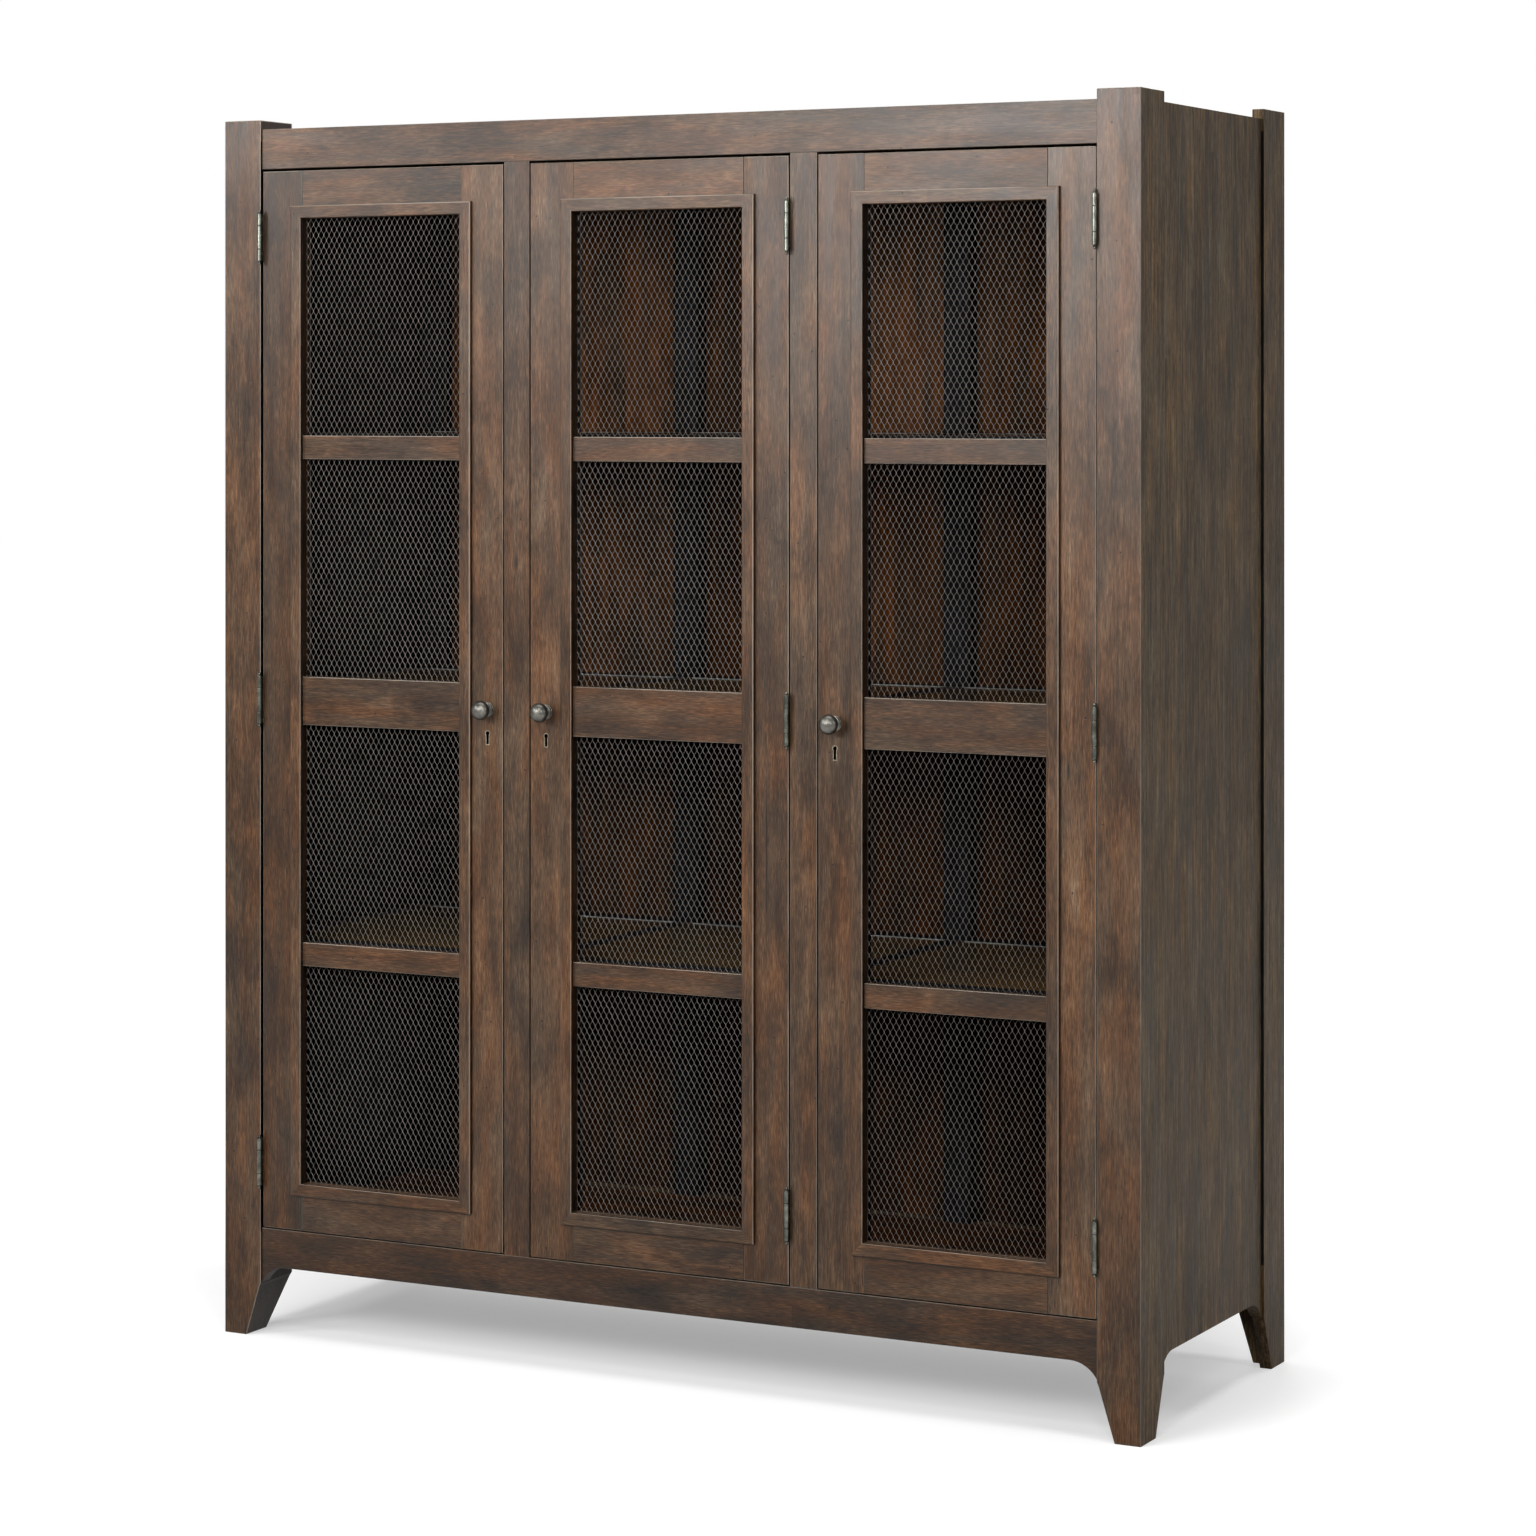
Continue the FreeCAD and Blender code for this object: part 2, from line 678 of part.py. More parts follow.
def lock(opening):
    """A keyhole liner and a lock case let into the back of the stile."""
    name = "lock_" + opening.name
    start = "hingeGap + doorWidth - lockWidth"
    liner_depth = "(doorThickness - lockThickness)"
    outer = keyhole(name + "_liner_outer", opening, "linerWall", "frontFace", liner_depth)
    inner = keyhole(name + "_liner_inner", opening, "0", "frontFace - cutOverrun",
                    "(doorThickness - lockThickness + 2 * cutOverrun)")
    liner = less(name + "_liner", outer, inner)
    body = block(name + "_body", opening.run(start, "lockWidth"), "lockFace", "lockBottom",
                 "lockWidth", "lockThickness", "lockHeight")
    room = "(boltLength + boltFit + cutOverrun)"
    channel = block(name + "_channel",
                    opening.run("hingeGap + doorWidth - boltLength - boltFit", room),
                    "boltMiddle - boltThickness / 2 - boltFit", "keyLevel - boltHeight / 2 - boltFit",
                    room, "boltThickness + 2 * boltFit", "boltHeight + 2 * boltFit")
    key_room = keyhole(name + "_key_room", opening, "0", "lockFace - cutOverrun",
                       "(lockThickness / 2 - boltThickness / 2 + cutOverrun)")
    case = less(name + "_case", body, channel, key_room)
    node(name, gathered(name, [liner, case]))
    bolt_name = "lock_bolt_" + opening.name
    node(bolt_name, block(bolt_name, opening.run("hingeGap + doorWidth - boltLength", "boltLength"),
                          "boltMiddle - boltThickness / 2", "keyLevel - boltHeight / 2",
                          "boltLength", "boltThickness", "boltHeight"))


def lock_seat(opening):
    """What the lock stile is cut away for: the keyhole liner and the lock case."""
    name = "lock_seat_" + opening.name
    hole = keyhole(name + "_hole", opening, "linerWall", "frontFace - cutOverrun",
                   "(doorThickness - lockThickness + 2 * cutOverrun)")
    room = "(lockWidth + cutOverrun)"
    pocket = block(name + "_pocket", opening.run("hingeGap + doorWidth - lockWidth", room),
                   "lockFace", "lockBottom", room, "lockThickness + cutOverrun", "lockHeight")
    return [hole, pocket]


def door(opening):
    """Frame, bars, bead, mesh and hardware of one door."""
    moving = []
    for level_name, level in hinge_levels().items():
        fixed_leaf, moving_leaf, pin = hinge(opening, level_name, level)
        fixed_leaves.append(fixed_leaf)
        moving.append(moving_leaf)
        pins.append(pin)
    node("hinge_leaves_" + opening.name, gathered("hinge_leaves_" + opening.name, moving))
    stile("hinge_stile_" + opening.name, opening, "hingeGap",
          "hingeGap + frameWidth - rebateWidth")
    stile("lock_stile_" + opening.name, opening, "hingeGap + doorWidth - frameWidth",
          "hingeGap + doorWidth - frameWidth - cutOverrun", *lock_seat(opening))
    door_rail("door_top_rail_" + opening.name, opening, "paneBottom + paneHeight",
              "paneBottom + paneHeight - cutOverrun")
    door_rail("door_bottom_rail_" + opening.name, opening, "doorBottom",
              "paneBottom - rebateWidth")
    crossbars(opening)
    bead(opening)
    mesh_panel(opening)
    mesh_strips(opening)
    knob(opening)
    lock(opening)


for each in OPENINGS:
    door(each)
node("case_hinge_leaves", gathered("case_hinge_leaves", fixed_leaves))
node("hinge_pins", gathered("hinge_pins", pins))

document.recompute()

# Check every object, then write each sub-part to its own file
faults = [item.Name for item in document.Objects
          if "Invalid" in item.State or "Error" in item.State]
for item in nodes:
    shape = item.Shape
    if shape.isNull() or not shape.isValid() or not shape.Solids:
        faults.append(item.Label)
if faults:
    raise SystemExit("faulty objects: " + ", ".join(faults))

os.makedirs("parts", exist_ok=True)
for item in nodes:
    item.Shape.exportStep("parts/" + item.Label + ".step")
print(len(nodes), "sub-parts written")
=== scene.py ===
import json
import math
import random
import bmesh
import bpy
from mathutils import Matrix, Vector


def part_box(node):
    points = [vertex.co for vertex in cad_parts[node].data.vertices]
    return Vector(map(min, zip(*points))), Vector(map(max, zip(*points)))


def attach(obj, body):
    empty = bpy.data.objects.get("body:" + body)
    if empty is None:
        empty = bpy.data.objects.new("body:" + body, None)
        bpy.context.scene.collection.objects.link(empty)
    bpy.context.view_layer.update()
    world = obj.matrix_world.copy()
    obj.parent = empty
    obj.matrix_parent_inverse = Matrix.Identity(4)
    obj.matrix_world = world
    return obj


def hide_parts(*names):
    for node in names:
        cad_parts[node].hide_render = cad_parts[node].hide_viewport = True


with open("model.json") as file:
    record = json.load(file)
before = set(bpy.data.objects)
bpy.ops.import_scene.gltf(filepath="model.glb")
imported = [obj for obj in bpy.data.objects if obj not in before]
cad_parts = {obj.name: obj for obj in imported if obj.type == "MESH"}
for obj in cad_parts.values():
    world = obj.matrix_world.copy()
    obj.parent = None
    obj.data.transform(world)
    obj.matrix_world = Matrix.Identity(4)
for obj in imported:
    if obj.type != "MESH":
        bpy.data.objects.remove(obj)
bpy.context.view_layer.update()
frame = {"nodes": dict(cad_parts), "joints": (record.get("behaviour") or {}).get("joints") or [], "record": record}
print("frame loaded:", len(frame["nodes"]), "nodes")


# Helpers

def mm(length):
    return length / 1000


# sRGB hex to linear
def linear(colour):
    channels = [int(colour[place:place + 2], 16) / 255 for place in (1, 3, 5)]
    return [c / 12.92 if c <= 0.04045 else ((c + 0.055) / 1.055) ** 2.4 for c in channels] + [1]


def addNode(tree, kind, settings=(), links=()):
    node = tree.nodes.new("ShaderNode" + kind)
    for key, value in dict(settings).items():
        if key == "stops":
            elements = node.color_ramp.elements
            while len(elements) < len(value):
                elements.new(0.5)
            for element, (place, colour) in zip(elements, value):
                element.position = place
                element.color = linear(colour)
        elif isinstance(key, str) and hasattr(node, key):
            setattr(node, key, value)
        else:
            node.inputs[key].default_value = value
    for key, source in dict(links).items():
        tree.links.new(getattr(source, "outputs", [source])[0], node.inputs[key])
    return node


def newMaterial(name, settings):
    material = bpy.data.materials.new(name)
    material.use_nodes = True
    tree = material.node_tree
    shader = tree.nodes["Principled BSDF"]
    for key, value in settings.items():
        shader.inputs[key].default_value = value
    return material, tree, shader


# Camera, found by fitting the corners of the cabinet

cameraSet = {
    "place": (3.0641, -5.8205, 1.5215),
    "turn": 27.40,
    "focalPixels": 4092.4,
    "horizonPixel": 401.75,
    "imagePixels": 1536,
    "sensor": 36,
}
lens = bpy.data.cameras.new("camera")
lens.sensor_width = cameraSet["sensor"]
lens.lens = cameraSet["focalPixels"] / cameraSet["imagePixels"] * cameraSet["sensor"]
lens.shift_y = cameraSet["horizonPixel"] / cameraSet["imagePixels"] - 0.5
camera = bpy.data.objects.new("camera", lens)
camera.location = cameraSet["place"]
camera.rotation_euler = (math.radians(90), 0, math.radians(cameraSet["turn"]))
bpy.context.collection.objects.link(camera)
bpy.context.scene.camera = camera
print("camera set")


# Wood: every board carries its own grain direction in the attribute "grain"

woodSet = {
    "staveWidth": 34,      # mm, glued staves
    "staveLength": 520,
    # Noise stretched along the grain: width and length in mm, detail, distortion
    "patterns": {
        "figure": (24, 200, 3, 0.5),
        "streak": (5, 120, 3, 0.2),
        "fibre": (1.2, 17, 2, 0.0),  # real pores are finer, drawn this coarse to show
        "blotch": (60, 130, 4, 0.4),
        "hue": (40, 240, 2, 0.5),
    },
    "noiseRoughness": 0.6,
    "pitSpacing": 21,
    "pitRadius": 1.9,
    "pitColour": "#120c08",
    "pitDepth": 2,         # against the fibres' bumps
    "flawColour": "#160f0b",
    "flawRagged": 0.9,     # how far the streaks tear a flaw's outline
    "flawEdge": (1.5, 0.7),
    "flawStrength": 0.85,
    "rubAndHighlightEdge": (0.2, 0.5),  # streak tones between which the paler edge colour, rubbing and painted highlight, comes in
    "hueEdge": (0.36, 0.7),
    "roughSwing": 0.12,
    "fibreBump": 0.6,
    "bumpDepth": 0.3,
}


def stainedWood(name, finish):
    material, tree, shader = newMaterial(name, {"IOR": 1.45, "Specular IOR Level": finish["gloss"]})
    grain = addNode(tree, "Attribute", {"attribute_name": "grain"}).outputs["Vector"]
    parts = addNode(tree, "SeparateXYZ", links={0: grain}).outputs
    # Staves glued side by side and end to end
    row = addNode(tree, "Math", {"operation": "DIVIDE", 1: mm(woodSet["staveWidth"])}, {0: parts[1]})
    row = addNode(tree, "Math", {"operation": "FLOOR"}, {0: row})
    shift = addNode(tree, "TexWhiteNoise", {"noise_dimensions": "1D"}, {"W": row})
    cell = addNode(tree, "Math", {"operation": "DIVIDE", 1: mm(woodSet["staveLength"])}, {0: parts[0]})
    cell = addNode(tree, "Math", {"operation": "ADD"}, {0: cell, 1: shift})
    cell = addNode(tree, "Math", {"operation": "FLOOR"}, {0: cell})
    place = addNode(tree, "CombineXYZ", links={0: row, 1: cell})
    stave = addNode(tree, "TexWhiteNoise", {"noise_dimensions": "3D"}, {"Vector": place})
    jump = addNode(tree, "VectorMath", {"operation": "SCALE", "Scale": finish["jump"]},
                   {0: stave.outputs["Color"]})

    noises = {"stave": stave}
    for kind, (width, length, detail, distortion) in woodSet["patterns"].items():
        size = (1 / mm(length), 1 / mm(width), 1 / mm(width))
        spot = addNode(tree, "VectorMath", {"operation": "MULTIPLY", 1: size}, {0: grain})
        spot = addNode(tree, "VectorMath", {"operation": "ADD"}, {0: spot, 1: jump})
        noises[kind] = addNode(tree, "TexNoise", {
            "Scale": 1, "Detail": detail, "Distortion": distortion,
            "Roughness": woodSet["noiseRoughness"]}, {"Vector": spot})
    # Weighted sum of the patterns, about one half
    amounts = [(noises[kind], finish[kind]) for kind in ("figure", "streak", "fibre", "blotch", "stave")]
    tone = None
    for source, amount in amounts:
        links = {0: source} if tone is None else {0: source, 2: tone}
        start = {2: 0.5 - sum(pair[1] for pair in amounts) / 2} if tone is None else {}
        tone = addNode(tree, "Math", {"operation": "MULTIPLY_ADD", 1: amount, **start}, links)
    # Per-board stain tone, plus painted shade at joints, sides and inner faces and down the back panel
    shade = addNode(tree, "Attribute", {"attribute_name": "shade"}).outputs["Fac"]
    tone = addNode(tree, "Math", {"operation": "ADD"}, {0: tone, 1: shade})
    cool = addNode(tree, "ValToRGB", {"stops": finish["cool"]}, {0: tone})
    warm = addNode(tree, "ValToRGB", {"stops": finish["warm"]}, {0: tone})
    low, high = woodSet["hueEdge"]
    hue = addNode(tree, "MapRange", {"From Min": low, "From Max": high}, {0: noises["hue"]})
    colour = addNode(tree, "MixRGB", links={"Fac": hue, "Color1": cool, "Color2": warm})
    # Small worm holes from the distressing
    spot = addNode(tree, "VectorMath", {"operation": "SCALE", "Scale": 1 / mm(woodSet["pitSpacing"])},
                   {0: grain})
    pits = addNode(tree, "TexVoronoi", {"Scale": 1}, {"Vector": spot})
    radius = woodSet["pitRadius"] / woodSet["pitSpacing"]
    pit = addNode(tree, "MapRange", {"From Min": radius, "From Max": radius * 0.5}, {0: pits})
    kept = addNode(tree, "SeparateColor", links={0: pits.outputs["Color"]})
    kept = addNode(tree, "Math", {"operation": "LESS_THAN", 1: finish["pits"]}, {0: kept})
    pit = addNode(tree, "Math", {"operation": "MULTIPLY"}, {0: pit, 1: kept})
    colour = addNode(tree, "MixRGB", {"Color2": linear(woodSet["pitColour"])},
                     {"Fac": pit, "Color1": colour})
    # One knot or shake on some boards: distance from its middle in its own lengths
    middle = addNode(tree, "Attribute", {"attribute_name": "flaw"}).outputs["Vector"]
    size = addNode(tree, "Attribute", {"attribute_name": "flawSize"}).outputs["Vector"]
    away = addNode(tree, "VectorMath", {"operation": "SUBTRACT"}, {0: grain, 1: middle})
    away = addNode(tree, "VectorMath", {"operation": "DIVIDE"}, {0: away, 1: size})
    away = addNode(tree, "VectorMath", {"operation": "LENGTH"}, {0: away}).outputs["Value"]
    away = addNode(tree, "Math", {"operation": "MULTIPLY_ADD", 1: woodSet["flawRagged"]},
                   {0: noises["streak"], 2: away})
    outer, inner = woodSet["flawEdge"]
    flaw = addNode(tree, "MapRange", {"From Min": outer, "From Max": inner,
                                      "To Max": woodSet["flawStrength"]}, {0: away})
    colour = addNode(tree, "MixRGB", {"Color2": linear(woodSet["flawColour"])},
                     {"Fac": flaw, "Color1": colour})
    # Edges paler: rubbed back to bare wood, and a painted highlight where the edges turn toward the lamps
    wear = addNode(tree, "Attribute", {"attribute_name": "wear"}).outputs["Fac"]
    low, high = woodSet["rubAndHighlightEdge"]
    rub = addNode(tree, "MapRange", {"From Min": low, "From Max": high, "To Max": finish["rub"]},
                  {0: noises["streak"]})
    rub = addNode(tree, "Math", {"operation": "MULTIPLY"}, {0: rub, 1: wear})
    colour = addNode(tree, "MixRGB", {"Color2": linear(finish["bare"])},
                     {"Fac": rub, "Color1": colour})
    tree.links.new(colour.outputs[0], shader.inputs["Base Color"])
    rough = addNode(tree, "MapRange", {"To Min": finish["rough"] - woodSet["roughSwing"],
                                       "To Max": finish["rough"] + woodSet["roughSwing"]},
                    {0: noises["figure"]})
    tree.links.new(rough.outputs[0], shader.inputs["Roughness"])
    height = addNode(tree, "Math", {"operation": "MULTIPLY_ADD", 1: woodSet["fibreBump"]},
                     {0: noises["fibre"], 2: noises["streak"]})
    height = addNode(tree, "Math", {"operation": "MULTIPLY_ADD", 1: -woodSet["pitDepth"]},
                     {0: pit, 2: height})
    bump = addNode(tree, "Bump", {"Strength": finish["relief"], "Distance": mm(woodSet["bumpDepth"])},
                   {"Height": height})
    tree.links.new(bump.outputs[0], shader.inputs["Normal"])
    return material


# Laminated hardwood, dark stain rubbed thin: calm brown with short fibres under a satin lacquer
# that takes a grey sheen
frontWood = stainedWood("stainedHardwoodLacquered", {
    "cool": ((0.0, "#0c0907"), (0.3, "#291e16"), (0.5, "#3f3023"), (0.7, "#564333"), (1.0, "#786551")),
    "warm": ((0.0, "#120b05"), (0.3, "#332011"), (0.5, "#4d311c"), (0.7, "#67462d"), (1.0, "#8b6a4d")),
    "figure": 0.25, "streak": 0.35, "fibre": 1.0, "blotch": 0.85, "stave": 0.06, "jump": 0.12,
    "bare": "#b3a799", "rub": 0.85, "pits": 0.45, "gloss": 0.25, "rough": 0.34, "relief": 0.35,
})
# The same stain on the broad sides: olive tones and a straighter, quieter grain
sideWood = stainedWood("stainedHardwoodSides", {
    "cool": ((0.0, "#16110b"), (0.3, "#31281d"), (0.5, "#493e2f"), (0.7, "#645745"), (1.0, "#86765f")),
    "warm": ((0.0, "#1b130a"), (0.3, "#3a2b1b"), (0.5, "#56412a"), (0.7, "#775d3d"), (1.0, "#9c7e5a")),
    "figure": 0.3, "streak": 1.1, "fibre": 1.2, "blotch": 0.65, "stave": 0.1, "jump": 0.25,
    "bare": "#8c7458", "rub": 0.5, "pits": 0.2, "gloss": 0.08, "rough": 0.5, "relief": 0.35,
})
# Veneered boards inside: redder and less worn, because no light or hands reach them
innerWood = stainedWood("stainedVeneerInside", {
    "cool": ((0.0, "#160e08"), (0.3, "#2a1b10"), (0.5, "#3b281a"), (1.0, "#5f4228")),
    "warm": ((0.0, "#200f05"), (0.3, "#42220b"), (0.5, "#5c3213"), (1.0, "#894f22")),
    "figure": 0.5, "streak": 0.25, "fibre": 0.4, "blotch": 0.75, "stave": 0.05, "jump": 0.4,
    "bare": "#a77a50", "rub": 0.3, "pits": 0.0, "gloss": 0.01, "rough": 0.5, "relief": 0.2,
})
# Panels of the shelves, lacquered until they mirror what stands on them; their pale edge colour paints a highlight
# line along each panel's back edge
shelfWood = stainedWood("polishedShelfVeneer", {
    "cool": ((0.0, "#1a150c"), (0.3, "#332a1a"), (0.5, "#463a25"), (1.0, "#6b5a3c")),
    "warm": ((0.0, "#22170a"), (0.3, "#3f2d15"), (0.5, "#553d1e"), (1.0, "#7d5c32")),
    "figure": 0.6, "streak": 0.3, "fibre": 0.5, "blotch": 0.8, "stave": 0.05, "jump": 1,
    "bare": "#d5dcd8", "rub": 1.0, "pits": 0.0, "gloss": 0.5, "rough": 0.2, "relief": 0.03,
})
# Frame at the back, painted nearly black: a cool dark strip between the red panels. The same near-black paints the
# shadow on the back posts' front faces and covers the posts' inner faces and the shelves' frames
blackWoodAndShadow = stainedWood("ebonisedHardwoodAndPaintedShadow", {
    "cool": ((0.0, "#050607"), (0.3, "#0d0e10"), (0.5, "#15171a"), (1.0, "#2a2d31")),
    "warm": ((0.0, "#060606"), (0.3, "#0d0d0d"), (0.5, "#151414"), (1.0, "#292827")),
    "figure": 0.4, "streak": 0.5, "fibre": 0.5, "blotch": 0.4, "stave": 0.05, "jump": 3,
    "bare": "#2c2a27", "rub": 0.4, "pits": 0.0, "gloss": 0.01, "rough": 0.5, "relief": 0.3,
})


# Cast, rolled or pressed metal: cloudy tarnish over a fine grit

metalSet = {"polish": 0.08, "tarnish": 0.1, "relief": 0.3}


def hardwareMetal(name, finish):
    material, tree, shader = newMaterial(name, {"Metallic": 1})
    spot = addNode(tree, "TexCoord").outputs["Object"]
    cloud = addNode(tree, "TexNoise", {"Scale": 1 / mm(finish["cloud"]), "Detail": 4}, {"Vector": spot})
    grit = addNode(tree, "TexNoise", {"Scale": 1 / mm(finish["grit"]), "Detail": 2}, {"Vector": spot})
    colour = addNode(tree, "ValToRGB", {"stops": finish["stops"]}, {0: cloud})
    tree.links.new(colour.outputs[0], shader.inputs["Base Color"])
    rough = addNode(tree, "MapRange", {"To Min": finish["rough"] - metalSet["polish"],
                                       "To Max": finish["rough"] + metalSet["tarnish"]}, {0: cloud})
    tree.links.new(rough.outputs[0], shader.inputs["Roughness"])
    bump = addNode(tree, "Bump", {"Strength": metalSet["relief"], "Distance": mm(finish["depth"])},
                   {"Height": grit})
    tree.links.new(bump.outputs[0], shader.inputs["Normal"])
    return material


# Zinc casting with an antique pewter plate: soft grey shine, darker where it isn't rubbed
pewter = hardwareMetal("antiquePewterPlate", {
    "stops": ((0.25, "#3b3a37"), (0.55, "#595752"), (0.8, "#77746e")),
    "cloud": 14, "grit": 0.8, "depth": 0.03, "rough": 0.34,
})
# Rolled steel butts with the same plate, a little smoother than the castings
hingeSteel = hardwareMetal("pewterPlatedSteel", {
    "stops": ((0.25, "#373834"), (0.55, "#54564f"), (0.8, "#73766d")),
    "cloud": 12, "grit": 1.2, "depth": 0.006, "rough": 0.24,
})
# Pressed nickel lock parts: a thin pale line round each keyhole
nickel = hardwareMetal("pressedNickelSteel", {
    "stops": ((0.25, "#5f584b"), (0.55, "#7f7666"), (0.8, "#9b917e")),
    "cloud": 7, "grit": 0.6, "depth": 0.04, "rough": 0.35,
})
# Lock cases left as rolled and oiled: nearly black through the keyhole
oiledSteel = hardwareMetal("oiledRolledSteel", {
    "stops": ((0.25, "#0c0b0a"), (0.55, "#171513"), (0.8, "#24211e")),
    "cloud": 12, "grit": 0.6, "depth": 0.03, "rough": 0.6,
})


coatSet = {"polish": 0.06, "wear": 0.08, "relief": 0.25, "depth": 0.05}


# Paint or moulded plastic: even, with a fine grit
def coated(name, finish):
    material, tree, shader = newMaterial(name, {"IOR": finish["ior"], "Specular IOR Level": finish["gloss"]})
    spot = addNode(tree, "TexCoord").outputs["Object"]
    cloud = addNode(tree, "TexNoise", {"Scale": 1 / mm(finish["cloud"]), "Detail": 3}, {"Vector": spot})
    grit = addNode(tree, "TexNoise", {"Scale": 1 / mm(finish["grit"]), "Detail": 2}, {"Vector": spot})
    colour = addNode(tree, "ValToRGB", {"stops": finish["stops"]}, {0: cloud})
    tree.links.new(colour.outputs[0], shader.inputs["Base Color"])
    rough = addNode(tree, "MapRange", {"To Min": finish["rough"] - coatSet["polish"],
                                       "To Max": finish["rough"] + coatSet["wear"]}, {0: cloud})
    tree.links.new(rough.outputs[0], shader.inputs["Roughness"])
    bump = addNode(tree, "Bump", {"Strength": coatSet["relief"], "Distance": mm(coatSet["depth"])},
                   {"Height": grit})
    tree.links.new(bump.outputs[0], shader.inputs["Normal"])
    return material


# Expanded steel sheet under a thin black enamel, drawn mid grey as a painted glint on every strand; the lamps add
# glints along one direction
meshSteel = coated("blackEnamelledExpandedSteel", {
    "stops": ((0.3, "#4d4743"), (0.7, "#5f5853")),
    "ior": 1.52, "cloud": 30, "grit": 0.7, "gloss": 0.32, "rough": 0.28,
})
# Moulded ABS of the catches: plain brown with a faint matt texture
brownPlastic = coated("mouldedBrownAbs", {
    "stops": ((0.3, "#34261c"), (0.7, "#46352a")),
    "ior": 1.53, "cloud": 14, "grit": 0.8, "gloss": 0.5, "rough": 0.5,
})
print("materials made")


# Making pieces

bodyOf = {node: body for body, members in frame["record"]["behaviour"]["bodies"].items()
          for node in members}


def pieceName(node):
    words = node.split("_")
    return words[0] + "".join(word.capitalize() for word in words[1:])


# Make the object, give it the node's body and hide the node that it replaces
def settle(shape, node, material, name=None, replaces=True):
    mesh = shape
    if isinstance(shape, bmesh.types.BMesh):
        mesh = bpy.data.meshes.new(name or pieceName(node))
        shape.to_mesh(mesh)
        shape.free()
    mesh.materials.append(material)
    piece = bpy.data.objects.new(name or pieceName(node), mesh)
    bpy.context.collection.objects.link(piece)
    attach(piece, bodyOf[node])
    if replaces:
        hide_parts(node)
    return piece


# Axes along, across and through a board; the last two lie flat or stand on their side
grainTurns = {"x": (0, 2, 1), "y": (1, 2, 0), "z": (2, 0, 1), "xFlat": (0, 1, 2), "zSide": (2, 1, 0)}

flaws = {
    # node: (middle in metres, half length and half width in mm)
    "mullion_left": ((-0.254, -0.281, 1.269), 19, 5),
    "hinge_stile_centre": ((0.190, -0.281, 0.85), 190, 1.6),
    "hinge_stile_right": ((0.69, -0.281, 0.98), 22, 3.5),
    "bottom_rail": ((0.18, -0.281, 0.118), 60, 2.2),
}


noFlaw = ((-99, -99, -99), 1, 1)  # far outside the cabinet


# Write grain places: along, across and through the board
def layGrain(shape, node, direction):
    dice = random.Random(node)
    shift = [dice.uniform(0, 9) for axis in range(3)]
    layer = shape.loops.layers.float_vector.new("grain")
    middleLayer = shape.faces.layers.float_vector.new("flaw")
    sizeLayer = shape.faces.layers.float_vector.new("flawSize")
    middle, length, width = flaws.get(node, noFlaw)
    for face in shape.faces:
        turn = grainTurns[direction(face) if callable(direction) else direction]
        face[middleLayer] = [middle[axis] + move for axis, move in zip(turn, shift)]
        face[sizeLayer] = (mm(length), mm(width), mm(width))
        for loop in face.loops:
            place = loop.vert.co
            loop[layer] = [place[axis] + move for axis, move in zip(turn, shift)]


meshTidy = {"weld": 0.01, "flat": 0.5, "sharp": 30}  # mm and degrees


# The node's solid with its sharp edges rounded over, the rounds marked as worn
def easedCopy(node, ease):
    shape = bmesh.new()
    shape.from_mesh(frame["nodes"][node].data)
    layer = shape.faces.layers.float.new("wear")
    bmesh.ops.remove_doubles(shape, verts=shape.verts, dist=mm(meshTidy["weld"]))
    bmesh.ops.dissolve_limit(shape, angle_limit=math.radians(meshTidy["flat"]),
                             verts=shape.verts, edges=shape.edges)
    turn = math.radians(meshTidy["sharp"])
    sharp = [edge for edge in shape.edges
             if len(edge.link_faces) == 2 and edge.calc_face_angle() > turn]
    made = bmesh.ops.bevel(shape, geom=sharp, offset=mm(ease), segments=3, profile=0.5,
                           affect="EDGES", clamp_overlap=True)
    for face in made["faces"]:
        face[layer] = 1
    for face in shape.faces:
        face.smooth = True
    return shape


def evenShade(piece):
    keep = piece.modifiers.new("evenShade", "WEIGHTED_NORMAL")
    keep.keep_sharp = True
    keep.weight = 100


# Case and door woodwork

